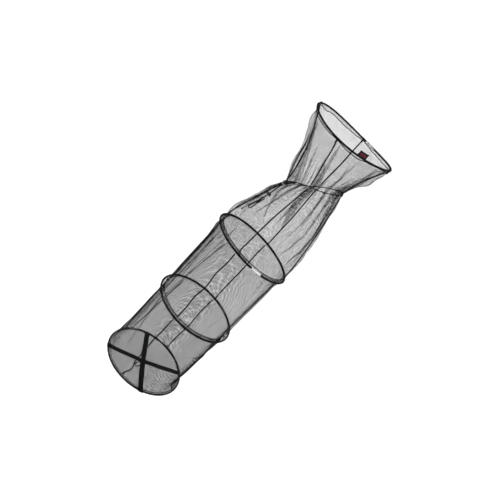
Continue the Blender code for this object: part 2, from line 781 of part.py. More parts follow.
def add_cord_lock():
    frame = lock_frame()
    half_slot = DRAWCORD_RADIUS + LOCK_SLOT_FIT
    inner = LOCK_RADIUS - LOCK_WALL
    cup = [(0, 0), (LOCK_RADIUS - LOCK_ROUNDING, 0), (LOCK_RADIUS, LOCK_ROUNDING),
           (LOCK_RADIUS, LOCK_LENGTH), (inner, LOCK_LENGTH), (inner, LOCK_FLOOR), (0, LOCK_FLOOR)]
    body = turned_solid("cord_lock_body", cup[::-1], frame, "lock_plastic")
    add_cut(body, slot_cutter("body_slot", frame, LOCK_SLOT_CENTRE - half_slot,
                              LOCK_SLOT_CENTRE + half_slot))
    radius = inner - LOCK_FIT
    foot = LOCK_SLOT_CENTRE - half_slot - LOCK_WALL
    head = LOCK_LENGTH + BUTTON_PROUD
    plug = [(0, foot), (radius, foot), (radius, head - LOCK_ROUNDING),
            (radius - LOCK_ROUNDING, head), (0, head)]
    button = turned_solid("cord_lock_button", plug[::-1], frame, "lock_plastic")
    add_cut(button, slot_cutter("button_slot", frame, LOCK_SLOT_CENTRE - half_slot,
                                LOCK_SLOT_CENTRE + half_slot + BUTTON_TRAVEL))
    low = LOCK_FLOOR + SPRING_WIRE + SEAT_GAP
    high = foot - SPRING_WIRE - SEAT_GAP
    count = SPRING_TURNS * SPRING_POINTS
    wide = radius * SPRING_WIDTH_SHARE
    points = []
    for k in range(count + 1):
        turned = 2 * pi * k / SPRING_POINTS
        points.append(frame @ Vector((wide * cos(turned), wide * sin(turned),
                                      low + (high - low) * k / count)))
    add_tube("cord_lock_spring", points, SPRING_WIRE, "spring_steel", FINE_BEVEL_STEPS)


def hank_frame():
    """The hank's frame: +Z down the netting, +Y off it, its origin under the knot."""
    knot_point, outward = surface_frame(KNOT_AT, LEG_CLEAR)
    foot_point, _ = surface_frame(HANK_FOOT_AT, LEG_CLEAR)
    return frame_at(knot_point, foot_point - knot_point, outward)


def hank_half_width(height):
    """Half the loops' width at a height along the runs, drawn in at the tie."""
    middle = HANK_START + HANK_LENGTH * HANK_WAIST_AT
    drawn = exp(-((height - middle) / HANK_WAIST_REACH) ** 2)
    return (HANK_WIDTH - (HANK_WIDTH - HANK_WAIST) * drawn) / 2


def hank_points():
    """The hank's cord: to and fro in loops that lie on each other, one step up for each."""
    layers = HANK_LOOPS * HANK_STEP
    top = HANK_START + HANK_WIDTH / 2
    foot = HANK_START + HANK_LENGTH - HANK_WIDTH / 2
    points = [Vector((0, -layers / 2, KNOT_RADIUS + SEAT_GAP))]

    def run(level, side, downward, climb):
        for k in range(HANK_RUN_POINTS):
            share = k / (HANK_RUN_POINTS - 1)
            height = top + (foot - top) * (share if downward else 1 - share)
            rise = level + climb * share
            points.append(Vector((side * hank_half_width(height), rise * HANK_STEP - layers / 2,
                                  height)))

    def turn(level, at_foot):
        for k in range(1, HANK_TURN_POINTS + 1):
            swing = pi * k / (HANK_TURN_POINTS + 1)
            if at_foot:
                x, z = -HANK_WIDTH / 2 * cos(swing), foot + HANK_WIDTH / 2 * sin(swing)
            else:
                x, z = HANK_WIDTH / 2 * cos(swing), top - HANK_WIDTH / 2 * sin(swing)
            points.append(Vector((x, level * HANK_STEP - layers / 2, z)))

    for loop in range(HANK_LOOPS):
        run(loop, -1, True, 0.0)
        turn(loop, at_foot=True)
        run(loop, 1, False, 1.0)
        turn(loop + 1, at_foot=False)
    run(HANK_LOOPS, -1, True, 0.0)
    points.append(Vector((-HANK_WIDTH / 2, layers / 2, foot + HANK_WIDTH / 2 + HANK_TAIL)))
    shift = Vector((HANK_WIDTH / 2, 0, 0))
    return [points[0]] + [point + shift for point in points[1:]]


def least_gap(points, radius):
    """The least gap between stretches of a tube that aren't neighbours along it."""
    found = None
    fine = []
    for a, b in zip(points, points[1:]):
        count = max(1, ceil((b - a).length / radius))
        fine += [a.lerp(b, k / count) for k in range(count)]
    run = [0.0]
    for a, b in zip(fine, fine[1:]):
        run.append(run[-1] + (b - a).length)
    for i, a in enumerate(fine):
        for j in range(i + 1, len(fine)):
            if run[j] - run[i] > NEIGHBOUR_RADII * radius:
                gap = (fine[j] - a).length - 2 * radius
                found = gap if found is None else min(found, gap)
    return found


def add_hank():
    frame = hank_frame()
    points = hank_points()
    add_tube("drawcord_hank", [frame @ p for p in points], DRAWCORD_RADIUS, "cord",
             FINE_BEVEL_STEPS)
    length = sum((b - a).length for a, b in zip(points, points[1:]))
    print(f"hank cord length {length:.4f} m, least gap {least_gap(points, DRAWCORD_RADIUS):.5f} m")
    middle = HANK_START + HANK_LENGTH * HANK_WAIST_AT
    wide = hank_half_width(middle) + DRAWCORD_RADIUS + TIE_BAND_FIT + TIE_BAND_WALL / 2
    deep = (HANK_LOOPS * HANK_STEP) / 2 + DRAWCORD_RADIUS + TIE_BAND_FIT + TIE_BAND_WALL / 2
    rows = []
    for height in (middle - TIE_BAND_HEIGHT / 2, middle, middle + TIE_BAND_HEIGHT / 2):
        row = []
        for k in range(TIE_BAND_SIDES):
            swing = 2 * pi * (k + 0.5) / TIE_BAND_SIDES
            x = max(-1, min(1, TIE_BAND_SQUARENESS * cos(swing))) * wide
            y = max(-1, min(1, TIE_BAND_SQUARENESS * sin(swing))) * deep
            row.append(frame @ Vector((x + HANK_WIDTH / 2, y, height)))
        rows.append(row)
    add_grid("hank_tie", rows, "cord", TIE_BAND_WALL, round_across=True)
    end = frame @ (points[-1] + Vector((0, 0, END_KNOT_RADIUS + SEAT_GAP)))
    add_ball("drawcord_end_knot", Matrix.Translation(end), END_KNOT_RADIUS, "cord")


def add_knot():
    frame, _ = legs_frame()
    add_ball("drawcord_knot", frame, KNOT_RADIUS, "cord")


def add_label():
    """A stiff folded flag sewn to the outside of the mouth hem, with a patch on its front."""
    ring = RINGS["mouth"]
    start, end = LABEL_ANGLES
    out = hem_outside("mouth") + SEAT_GAP + LABEL_THICKNESS / 2
    rows = [[ring.place(a, out, lift) for a in open_angles(start, end)]
            for lift in (-LABEL_FOOT, LABEL_HEIGHT)]
    add_grid("label_backing", rows, "label_backing", LABEL_THICKNESS)
    inset = ring.angle_of(PATCH_MARGIN)
    patch_out = out + LABEL_THICKNESS / 2 + SEAT_GAP + PATCH_THICKNESS / 2
    rows = [[ring.place(a, patch_out, lift) for a in open_angles(start + inset, end - inset)]
            for lift in (PATCH_MARGIN, LABEL_HEIGHT - PATCH_MARGIN)]
    add_grid("label_patch", rows, "label_patch", PATCH_THICKNESS)


def build():
    for level in HOOPS:
        add_hoop(level)
        add_ferrule(level)
    for level, name in (("mouth", "mouth_hem"), ("upper", "upper_sleeve"),
                        ("middle", "middle_sleeve"), ("bottom", "bottom_hem"),
                        ("neck", "neck_casing")):
        add_hem(level, name)
    for bay, upper, lower, shares in BAYS:
        if shares:
            add_gathered_netting(bay, upper, lower, shares)
        else:
            add_straight_netting(bay, upper, lower)
        for side in CORD_ANGLE:
            add_cord(side, bay, upper, lower)
    add_bottom_panel()
    add_tapes()
    add_bottom_loop()
    add_drawcord()
    add_drawcord_ring()
    add_cord_lock()
    add_knot()
    add_hank()
    add_label()


for old in list(bpy.data.objects):
    bpy.data.objects.remove(old, do_unlink=True)
PARTS = collection("fishing_keepnet")
CUTTERS = collection("cutters")
build()
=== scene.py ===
"""The looks of the fishing keepnet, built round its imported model.

Metres, +Z up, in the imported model's own frame: the mouth hoop's centre is the origin. Angles round
the net are in degrees from +X, and -90 is its front. The netting is real thread: a lattice of two
families of threads on a cloth whose length round never changes, so that it is gathered into tucks
and pleats where the drawcord draws the neck in.
"""

import json
from math import asin, atan2, cos, exp, pi, radians, sin

import bmesh
import bpy
import numpy as np
from mathutils import Matrix, Vector, geometry
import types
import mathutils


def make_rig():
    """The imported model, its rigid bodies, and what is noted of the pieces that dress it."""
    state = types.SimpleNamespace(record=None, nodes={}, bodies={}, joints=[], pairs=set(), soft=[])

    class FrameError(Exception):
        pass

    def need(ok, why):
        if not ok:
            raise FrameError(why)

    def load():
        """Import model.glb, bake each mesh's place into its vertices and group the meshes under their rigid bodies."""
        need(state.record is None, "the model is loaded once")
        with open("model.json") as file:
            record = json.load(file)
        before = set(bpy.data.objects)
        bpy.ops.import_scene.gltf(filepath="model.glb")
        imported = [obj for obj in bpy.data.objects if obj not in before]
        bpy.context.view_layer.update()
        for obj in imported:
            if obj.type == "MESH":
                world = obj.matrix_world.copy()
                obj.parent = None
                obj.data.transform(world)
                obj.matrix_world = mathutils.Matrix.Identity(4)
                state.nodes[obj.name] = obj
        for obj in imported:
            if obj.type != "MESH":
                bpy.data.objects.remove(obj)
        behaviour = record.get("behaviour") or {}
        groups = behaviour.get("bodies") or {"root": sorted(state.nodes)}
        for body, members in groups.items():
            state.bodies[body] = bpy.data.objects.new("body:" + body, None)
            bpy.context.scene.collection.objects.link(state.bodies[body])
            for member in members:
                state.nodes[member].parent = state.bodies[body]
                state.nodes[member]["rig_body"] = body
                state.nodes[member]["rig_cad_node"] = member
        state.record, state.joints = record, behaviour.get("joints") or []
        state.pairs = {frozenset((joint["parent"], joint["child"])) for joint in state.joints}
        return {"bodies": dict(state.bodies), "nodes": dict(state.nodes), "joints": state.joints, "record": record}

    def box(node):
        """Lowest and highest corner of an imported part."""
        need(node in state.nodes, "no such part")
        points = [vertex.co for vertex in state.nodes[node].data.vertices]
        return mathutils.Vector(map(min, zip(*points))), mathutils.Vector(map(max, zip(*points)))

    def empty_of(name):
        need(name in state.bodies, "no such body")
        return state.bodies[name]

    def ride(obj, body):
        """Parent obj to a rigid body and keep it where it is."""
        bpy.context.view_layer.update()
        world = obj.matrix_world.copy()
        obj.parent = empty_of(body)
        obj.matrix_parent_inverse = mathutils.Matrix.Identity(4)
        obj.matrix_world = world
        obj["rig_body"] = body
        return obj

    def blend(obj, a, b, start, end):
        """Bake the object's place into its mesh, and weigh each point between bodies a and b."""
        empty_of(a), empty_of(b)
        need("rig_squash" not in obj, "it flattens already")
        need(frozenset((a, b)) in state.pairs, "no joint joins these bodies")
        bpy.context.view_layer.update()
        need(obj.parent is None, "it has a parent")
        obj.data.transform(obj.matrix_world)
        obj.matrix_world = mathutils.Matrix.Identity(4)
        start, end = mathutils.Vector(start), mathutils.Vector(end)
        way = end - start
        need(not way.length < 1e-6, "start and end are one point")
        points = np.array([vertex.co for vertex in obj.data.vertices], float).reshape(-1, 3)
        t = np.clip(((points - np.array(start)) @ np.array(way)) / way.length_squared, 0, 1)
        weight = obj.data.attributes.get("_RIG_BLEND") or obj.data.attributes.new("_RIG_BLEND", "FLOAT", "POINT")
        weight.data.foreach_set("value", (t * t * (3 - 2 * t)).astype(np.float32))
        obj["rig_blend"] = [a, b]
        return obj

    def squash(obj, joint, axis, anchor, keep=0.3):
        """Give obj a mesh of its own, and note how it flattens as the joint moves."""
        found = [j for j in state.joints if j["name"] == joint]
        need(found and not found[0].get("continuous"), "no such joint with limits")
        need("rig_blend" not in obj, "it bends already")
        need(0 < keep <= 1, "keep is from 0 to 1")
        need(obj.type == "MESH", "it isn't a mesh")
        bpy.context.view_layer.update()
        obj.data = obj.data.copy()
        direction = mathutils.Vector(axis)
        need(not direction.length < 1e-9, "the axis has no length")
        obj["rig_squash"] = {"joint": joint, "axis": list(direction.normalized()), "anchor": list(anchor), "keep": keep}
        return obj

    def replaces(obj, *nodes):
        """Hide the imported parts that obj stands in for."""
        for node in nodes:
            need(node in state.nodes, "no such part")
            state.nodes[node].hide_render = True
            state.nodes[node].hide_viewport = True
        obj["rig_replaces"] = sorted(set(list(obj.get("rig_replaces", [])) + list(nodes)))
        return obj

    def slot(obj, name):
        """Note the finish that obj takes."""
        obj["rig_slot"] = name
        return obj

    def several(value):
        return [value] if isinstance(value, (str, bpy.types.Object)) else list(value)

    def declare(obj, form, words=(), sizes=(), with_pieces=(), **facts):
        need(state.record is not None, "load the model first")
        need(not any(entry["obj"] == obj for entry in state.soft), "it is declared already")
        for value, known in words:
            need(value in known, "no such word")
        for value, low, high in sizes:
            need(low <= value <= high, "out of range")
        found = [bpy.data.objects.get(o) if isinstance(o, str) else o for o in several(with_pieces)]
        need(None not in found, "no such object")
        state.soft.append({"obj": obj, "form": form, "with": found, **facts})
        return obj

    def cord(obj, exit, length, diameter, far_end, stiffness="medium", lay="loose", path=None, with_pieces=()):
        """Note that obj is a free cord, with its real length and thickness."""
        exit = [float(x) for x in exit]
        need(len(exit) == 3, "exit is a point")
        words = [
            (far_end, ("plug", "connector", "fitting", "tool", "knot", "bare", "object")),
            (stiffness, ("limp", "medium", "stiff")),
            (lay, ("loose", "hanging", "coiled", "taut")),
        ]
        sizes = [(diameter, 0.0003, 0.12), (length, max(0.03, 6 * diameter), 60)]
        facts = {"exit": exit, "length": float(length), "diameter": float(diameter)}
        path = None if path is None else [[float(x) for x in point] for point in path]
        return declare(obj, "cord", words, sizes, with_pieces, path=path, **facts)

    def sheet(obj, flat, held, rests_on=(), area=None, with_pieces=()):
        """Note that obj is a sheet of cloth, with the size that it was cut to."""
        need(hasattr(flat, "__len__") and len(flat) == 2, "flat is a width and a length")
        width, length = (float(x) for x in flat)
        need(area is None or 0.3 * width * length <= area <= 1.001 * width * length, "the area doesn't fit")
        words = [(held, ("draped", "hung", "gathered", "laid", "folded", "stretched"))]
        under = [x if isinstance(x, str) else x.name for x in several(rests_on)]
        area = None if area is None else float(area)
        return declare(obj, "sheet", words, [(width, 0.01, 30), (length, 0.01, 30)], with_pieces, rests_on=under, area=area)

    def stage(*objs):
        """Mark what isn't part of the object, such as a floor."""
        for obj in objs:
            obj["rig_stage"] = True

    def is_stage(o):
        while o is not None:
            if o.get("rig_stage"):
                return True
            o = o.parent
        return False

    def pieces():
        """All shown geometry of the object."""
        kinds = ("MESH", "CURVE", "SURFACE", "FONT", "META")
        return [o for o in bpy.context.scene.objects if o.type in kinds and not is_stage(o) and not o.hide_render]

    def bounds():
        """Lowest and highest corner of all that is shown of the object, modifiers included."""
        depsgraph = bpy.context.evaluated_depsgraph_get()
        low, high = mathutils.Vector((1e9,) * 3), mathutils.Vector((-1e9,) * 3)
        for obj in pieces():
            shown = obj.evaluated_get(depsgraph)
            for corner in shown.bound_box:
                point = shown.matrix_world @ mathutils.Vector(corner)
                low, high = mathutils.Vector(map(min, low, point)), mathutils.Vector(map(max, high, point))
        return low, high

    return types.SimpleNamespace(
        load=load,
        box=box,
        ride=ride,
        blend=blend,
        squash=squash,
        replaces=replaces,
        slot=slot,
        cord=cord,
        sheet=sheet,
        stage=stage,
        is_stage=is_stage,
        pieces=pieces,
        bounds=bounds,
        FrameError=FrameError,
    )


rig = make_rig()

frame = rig.load()
CAD_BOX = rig.bounds()

# Hoops, as in the part's source
HOOP_RADIUS = 0.200
WIRE_RADIUS = 0.0032
WIRE_END_GAP = 0.0010
WIRE_POINTS = 181
FERRULE_LENGTH = 0.052
FERRULE_WALL = 0.0012
FERRULE_FIT = 0.0005
FERRULE_ANGLE = {"mouth": 67.5, "upper": -67.5, "middle": 58.5, "bottom": 139.5}

# A ferrule's crimps and rolled ends: places and widths are shares of its length
CRIMPS = (0.17, 0.30, 0.70, 0.83)
CRIMP_WIDTH = 0.022
CRIMP_DEPTH = 0.0007
ROLLED_END = 0.02
ROLLED_DEPTH = 0.0005
FERRULE_POINTS = 65

# Levels of the net, down from the mouth
NECK_DROP = 0.268
NECK_BAY = 0.391
MIDDLE_BAY = 0.417
BOTTOM_BAY = 0.407
NECK_SHIFT = 0.017
NECK_LEAN = -30.3
UPPER_SHIFT = 0.0054
UPPER_LEAN = (-3.4, 4.6)
MIDDLE_LEAN = (0.7, 1.4)
BOTTOM_SHIFT = (-0.0076, -0.0039)
BOTTOM_LEAN = (3.5, -1.4)
MOUTH_WARP = 0.0087
MOUTH_WARP_ANGLE = -13.7
NECK_HALF_WIDTH = 0.130
NECK_SMALL_END = 0.015
NECK_LARGE_END = 0.022
NECK_WARP = 0.007
NECK_WARP_ANGLE = 45.0

# Hems: the netting folded round the wire and sewn to itself under a binding
HEM_RADIUS = {"mouth": 0.0043, "neck": 0.0018, "upper": 0.0050, "middle": 0.0052,
              "bottom": 0.0057}
HEM_ON_FERRULE = 0.0055
HEM_FERRULE_EASE = 0.008
HEM_CUT_GAP = 0.002
HEM_LEAF_ROWS = 3
HEM_WRAP_ROWS = 12
HEM_LEAF_GAP = 0.0022
HEM_WOBBLE = 0.0006
CASING_PUCKER = 0.0004
HEM_PUCKER = 0.0002
MOUTH_SEAM_IN = 0.004
SLEEVE_SEAM_IN = 0.012
SLEEVE_SEAM_RISE = 0.0075
BOTTOM_SEAM_IN = 0.010
BOTTOM_SEAM_RISE = 0.007
CASING_SEAM_IN = 0.006
BINDING_HALF_HEIGHT = 0.0017
BINDING_HALF_THICKNESS = 0.0010
BINDING_IN = 0.0012
BINDING_STEPS = 360
BINDING_STITCHES = 280
# At the bottom the binding lies at these shares of the seam's distance out and its rise
BOTTOM_BINDING = (0.6, 0.4)
STITCH_RADIUS = {"seam": 0.0004, "tape": 0.0004, "crossing": 0.00035, "label": 0.00028}
STITCH_PROUD = 0.0001
STITCH_SPAN = (0.15, 0.85)

# The mouth's seam hangs in scallops between its knots: angle, drop
MOUTH_SEAM_DROPS = (
    (-170, 0.010), (-150, 0.013), (-125, 0.010), (-101, 0.005), (-85, 0.011), (-72, 0.0125),
    (-58, 0.005), (-41, 0.004), (-25, 0.008), (-11, 0.005), (10, 0.010), (33, 0.013), (58, 0.011),
    (79, 0.0045), (92, 0.012), (110, 0.016), (133, 0.013), (149, 0.018), (169, 0.006),
)

# Netting: diamonds of thread
CLOTH_ROUND = {"mouth": 1.19, "neck": 1.19, "middle": 1.242, "bottom": 1.246}
COLUMNS = 240
ROW_STEP = 0.0034
CLOTH_FINENESS = 4
CLOTH_BEHIND_SEAM = 0.001
THREAD_RADIUS = {"mouth": 0.00037, "neck": 0.00042, "middle": 0.00059, "bottom": 0.00069}
THREAD_FLATNESS = 0.45
# Where a bay's cloth is bunched or pulled thin, drawn as heavier or finer thread: angle, share
THREAD_SHARE = {
    "middle": ((-172, 1.2), (-128, 1.12), (-85, 1.0), (-40, 0.88), (10, 0.84), (90, 0.97),
               (150, 1.15)),
}
HEM_THREAD = {"mouth": 0.00034, "neck": 0.00020, "upper": 0.00050, "middle": 0.00050,
              "bottom": 0.00050}
HEM_WRAP_THREAD = 0.00064
PANEL_THREAD = 0.00058
PANEL_FINENESS = 0.72
PANEL_INSIDE = 0.002
PANEL_TURN = 24.0
PANEL_RIPPLE = 0.0012
PANEL_ON_TAPE = 0.0005
MOUTH_FLARE = (1.0, 1.3)
NECK_FLARE = (1.75, 1.55)

# Tucks: the cloth in a turn, the share of the slack that tucks take up, how they fade away from
# the neck, and the least slack that makes one; MOST_FREE leaves a little slack in every row
MOST_FREE = 0.998
TUCK_TURN = 0.004
TUCK_SHARE = 0.93
TUCK_FADE = 0.3
LEAST_TUCK = 0.0004

# The folds die away towards a hoop over these shares of a bay: the two straight bays, and the two
# that meet at the neck
STRAIGHT_BAY_CALM = 0.08
NECK_BAY_CALM = 0.1

# Small gathers: waves round the net near the neck, further off and far off, and what varies them
GATHERS = (60, 27, 11)
GATHERS_NEAR = 0.30
GATHERS_FAR = (0.25, 0.60)
GATHER_LIMIT = 2.2
GATHER_HALVINGS = 22
GATHER_DRIFTS = (3, 7)
GATHER_RHYTHM = 5
GATHER_SEED = {"mouth": 0.1, "neck": 0.1, "middle": 0.45, "bottom": 0.8}

# Where the bays bend as the net folds: along the neck's normal from its centre, or off a hoop
NECK_BLENDS = {"mouth": (0.135, 0.004), "neck": (-0.075, -0.215)}
BLEND_BELOW_HOOP = 0.018
BLEND_ABOVE_HOOP = 0.022

# Support cords; the braid is drawn heavier than the cord's true radius
CORD_RADIUS = 0.0020
BRAID_RADIUS = 0.0031
HOOK_CORD_RADIUS = 0.0011
HOOK_REACH = (0.009, 0.023)
CORD_STEPS = 22
CORD_ANGLE = {"front": -101.0, "right": -11.0, "back": 79.0, "left": 169.0}
TIE_SHIFT = 0.0050
NECK_CORD_OUT = 0.004
TIE_SIDE = {"front": 1.0, "right": 1.0, "back": -1.0, "left": -1.0}
MOUTH_HOOK = (150.0, 110.0, 70.0, 30.0, -10.0, -50.0, -90.0)
FOOT_HOOK = (140.0, 180.0, 225.0, 270.0)
CORD_ON_NET = {"front": -0.0095, "back": -0.0095, "left": -0.0100, "right": -0.0170}
CORD_ONTO_NET = 0.045
CORD_BEND_AT = 0.87
CORD_BEND_REACH = 0.09
CORD_BEND_END = 0.08

# Knots: shape in radii of their cord, then those that tie the support cords
KNOT_COIL = 1.75
KNOT_PITCH = 1.84
KNOT_TAPER = 0.12
KNOT_ENTRY = (0.6, 1.4)
KNOT_STEPS = 14
TIE_TAILS = {"mouth": 0.016, "neck": 0.0, "upper": 0.006, "middle": 0.007, "bottom": 0.014}
TIE_TAIL_LEAN = 155
TIE_CLEAR = 0.003
TIE_INSIDE = 0.008

# Tapes under the bottom, their patch and loop
TAPE_WIDTH = 0.027
TAPE_THICKNESS = 0.0012
TAPE_SAG = 0.010
TAPE_CURL = 0.0010
TAPE_WAVE = 0.0006
TAPE_ANGLES = {"upper_tape": (-154.0, 34.0), "lower_tape": (114.0, -65.0)}
TAPE_COLUMNS = 9
TAPE_ROWS = 34
TAPE_STITCH_ROWS = 2
# A tape's fold round the hoop: first angle, last angle and rows, and the widest step that it clears
TAPE_FOLD = (-50, -90, 4)
TAPE_FOLD_STEP = 50.0
CROSSING_SHARE = 0.55
CROSSING_BOX = 0.8
CROSSING_TURN = 28
CROSSING_STITCH = 0.0024
CROSSING_CURL = 0.0005
LOOP_CORD_RADIUS = 0.0030
LOOP_LENGTH = 0.046
LOOP_TURN = -20.0
LOOP_WIDTH = 0.018
LOOP_STUB = 0.0045
LOOP_POINTS = 9
LOOP_SWING = 62.0

# Drawcord, its ring, lock and hank
DRAWCORD_RADIUS = 0.0015
DRAWCORD_EXIT_ANGLE = -165.0
DRAWCORD_EXIT_GAP = 0.0085
EXIT_BEND_SHARE = 0.3
EXIT_ENTRY_SHARE = 0.85
LEG_OVER_RING = 0.003
LEG_SPACING = 0.0036
KNOT_AT = (0.395, -140.5)
HANK_FOOT_AT = (0.66, -143.5)
LEG_CLEAR = 0.0125
# Steps along and round the neck's bay, by which the way that its surface faces is found
NEAR_SHARE = 0.02
NEAR_ANGLE = 4.5
RING_RADIUS = 0.0058
RING_THICKNESS = 0.0013
RING_BELOW_TOP = 0.0039
LOCK_RADIUS = 0.0066
LOCK_LENGTH = 0.0165
LOCK_WALL = 0.0012
LOCK_FIT = 0.0003
LOCK_FLOOR = 0.0016
LOCK_SLOT_FIT = 0.0003
LOCK_SLOT_CENTRE = 0.0105
SLOT_EDGE = 0.0003
LOCK_ABOVE_KNOT = 0.0125
LOCK_GRIPS = ((0.0020, 0.0005), (LOCK_LENGTH - 0.0030, 0.0004))
LOCK_ROUNDING = 0.0007
BUTTON_ROUNDING = 0.0006
BUTTON_TRAVEL = 0.0030
BUTTON_PROUD = 0.0050
SPRING_WIRE = 0.00035
SPRING_WIDTH_SHARE = 0.7
SPRING_TURNS = 3
SPRING_KEPT = 0.48
HANK_LOOPS = 2
HANK_LENGTH = 0.078
HANK_WIDTH = 0.0145
HANK_WAIST = 0.0066
HANK_WAIST_AT = 0.36
HANK_WAIST_REACH = 0.016
HANK_STEP = 0.0038
HANK_START = 0.008
HANK_TAIL = 0.024
HANK_RUN_POINTS = 8
HANK_TURN_POINTS = 4
TIE_BAND_HEIGHT = 0.007
TIE_BAND_TURNS = 5
TIE_THREAD = 0.0007
TIE_THREAD_CLEAR = 0.0009
KNOT_RADIUS = 0.0042
END_KNOT_RADIUS = 0.0034
SEAT_GAP = 0.0003

# Edges of tapes and plastic parts that aren't shaded round
SHARP_ANGLE = 50

# Label
LABEL_ANGLES = (-75.0, -63.8)
LABEL_HEIGHT = 0.0265
LABEL_THICKNESS = 0.0009
LABEL_FOOT = 0.002
LABEL_CURL = 0.0016
PATCH_MARGIN = 0.0066
PATCH_THICKNESS = 0.0006
# From the middle of the flag to the middle of the patch, then its two rows of stitches: margin,
# how proud they lie, step
LABEL_PROUD = LABEL_THICKNESS / 2 + PATCH_THICKNESS / 2
LABEL_SEAMS = ((PATCH_MARGIN + 0.001, LABEL_PROUD + PATCH_THICKNESS / 2, 0.0017),
               (0.0016, LABEL_THICKNESS / 2, 0.0022))

# Camera, solved from the photograph's four hoops, with its frame 500 pixels square
FOCAL_PIXELS = 700.0
FRAME_PIXELS = 500.0
SENSOR = 36.0
CAMERA_PLACE = (0.0, -2.8935, 0.5122)
CAMERA_RIGHT = (0.73226427, 0.25828197, 0.63014241)
CAMERA_DOWN = (0.68102036, -0.27846198, -0.67725194)

# Studio: lamps as (name, place, size, power)
FLOOR_LEVEL = -3.0
FLOOR_SIZE = 24.0
FLOOR_GREY = 0.85
FLOOR_GLOW = 0.56
SKY_LIGHT = 0.55
LAMP_AIM = (0, 0, -0.75)
LAMPS = (("key_lamp", (-2.2, -2.4, 2.6), 2.2, 70.0), ("fill_lamp", (2.6, -1.6, 0.8), 2.4, 40.0),
         ("back_lamp", (0.6, 2.8, 1.8), 2.2, 40.0))


def vec(*numbers):
    return np.array(numbers, float)


def unit(v):
    v = np.asarray(v, float)
    return v / np.maximum(np.linalg.norm(v, axis=-1, keepdims=True), 1e-12)


def ease(t):
    t = np.clip(t, 0.0, 1.0)
    return t * t * (3 - 2 * t)


class Ring:
    """A level of the net: where its outline lies, as a hull of a large and a small circle."""

    def __init__(self, centre, lean, half_width, small, large, warp=0.0, warp_angle=0.0):
        self.centre = vec(*centre)
        turn = Matrix.Rotation(radians(lean[1]), 3, "Y") @ Matrix.Rotation(radians(lean[0]), 3, "X")
        self.turn = np.array(turn)
        self.small = small
        self.large = large
        self.half_width = half_width
        self.warp = warp
        self.warp_angle = warp_angle
        apart = 2 * half_width - small - large
        self.slope = asin((large - small) / apart) if apart > 1e-9 else 0.0
        self.large_arc = large * (pi / 2 + self.slope)
        self.side = apart * cos(self.slope)
        self.half_round = self.large_arc + self.side + small * (pi / 2 - self.slope)
        self.normal = self.turn @ vec(0, 0, 1)

    def outline(self, angle):
        """Points and outward directions, evenly spaced round the outline's length."""
        angle = (np.asarray(angle, float) + 180.0) % 360.0 - 180.0
        side = np.where(angle < 0, -1.0, 1.0)
        run = np.abs(angle) / 180.0 * self.half_round
        corner = pi / 2 + self.slope
        on_large = run < self.large_arc
        on_side = ~on_large & (run < self.large_arc + self.side)
        past = (run - self.large_arc - self.side) / self.small
        facing = np.where(on_large, run / self.large, np.where(on_side, corner, corner + past))
        centre = np.where(on_large | on_side, self.half_width - self.large,
                          self.small - self.half_width)
        radius = np.where(on_large | on_side, self.large, self.small)
        along = np.where(on_side, run - self.large_arc, 0.0)
        flat = np.zeros_like(facing)
        normal = np.stack([np.cos(facing), side * np.sin(facing), flat], -1)
        tangent = np.stack([flat - sin(corner), side * cos(corner), flat], -1)
        point = normal * radius[..., None] + tangent * along[..., None]
        point[..., 0] += centre
        return point, normal

    def arm(self, angle, out=0.0, lift=0.0):
        """A spot by its angle, how far out from the outline and how far up, from the centre."""
        point, normal = self.outline(angle)
        rise = self.warp * np.cos(np.radians(2 * (np.asarray(angle, float) - self.warp_angle)))
        local = point + normal * np.asarray(out, float)[..., None]
        local[..., 2] += rise + lift
        return local @ self.turn.T

    def spot(self, angle, out=0.0, lift=0.0):
        return self.centre + self.arm(angle, out, lift)

    def angle_of(self, length):
        return 180.0 * length / self.half_round


def hoop_ring(centre, lean, warp=0.0, warp_angle=0.0):
    return Ring(centre, lean, HOOP_RADIUS, HOOP_RADIUS, HOOP_RADIUS, warp, warp_angle)


UPPER_Z = -(NECK_DROP + NECK_BAY)
MIDDLE_Z = UPPER_Z - MIDDLE_BAY
BOTTOM_Z = MIDDLE_Z - BOTTOM_BAY
RINGS = {
    "mouth": hoop_ring((0, 0, 0), (0, 0), MOUTH_WARP, MOUTH_WARP_ANGLE),
    "neck": Ring((NECK_SHIFT, 0, -NECK_DROP), (0, NECK_LEAN), NECK_HALF_WIDTH,
                 NECK_SMALL_END, NECK_LARGE_END, NECK_WARP, NECK_WARP_ANGLE),
    "upper": hoop_ring((UPPER_SHIFT, 0, UPPER_Z), UPPER_LEAN),
    "middle": hoop_ring((0, 0, MIDDLE_Z), MIDDLE_LEAN),
    "bottom": hoop_ring((*BOTTOM_SHIFT, BOTTOM_Z), BOTTOM_LEAN),
}
BAYS = {
    "mouth": ("mouth", "neck"),
    "neck": ("neck", "upper"),
    "middle": ("upper", "middle"),
    "bottom": ("middle", "bottom"),
}
FLARES = {"mouth": MOUTH_FLARE, "neck": NECK_FLARE, "middle": (1.0, 1.0), "bottom": (1.0, 1.0)}
SLEEVES = {"mouth": "mouth_hem", "upper": "upper_sleeve", "middle": "middle_sleeve",
           "bottom": "bottom_hem", "neck": "neck_casing"}


def round_interp(angle, table):
    """A smooth value from a few chosen (angle, value) pairs that go round."""
    at = np.array([a for a, _ in table], float)
    value = np.array([v for _, v in table], float)
    at = np.concatenate([at - 360, at, at + 360])
    value = np.tile(value, 3)
    angle = (np.asarray(angle, float) + 180.0) % 360.0 - 180.0
    k = np.clip(np.searchsorted(at, angle, "right") - 1, 0, len(at) - 2)
    t = ease((angle - at[k]) / (at[k + 1] - at[k]))
    return value[k] + (value[k + 1] - value[k]) * t


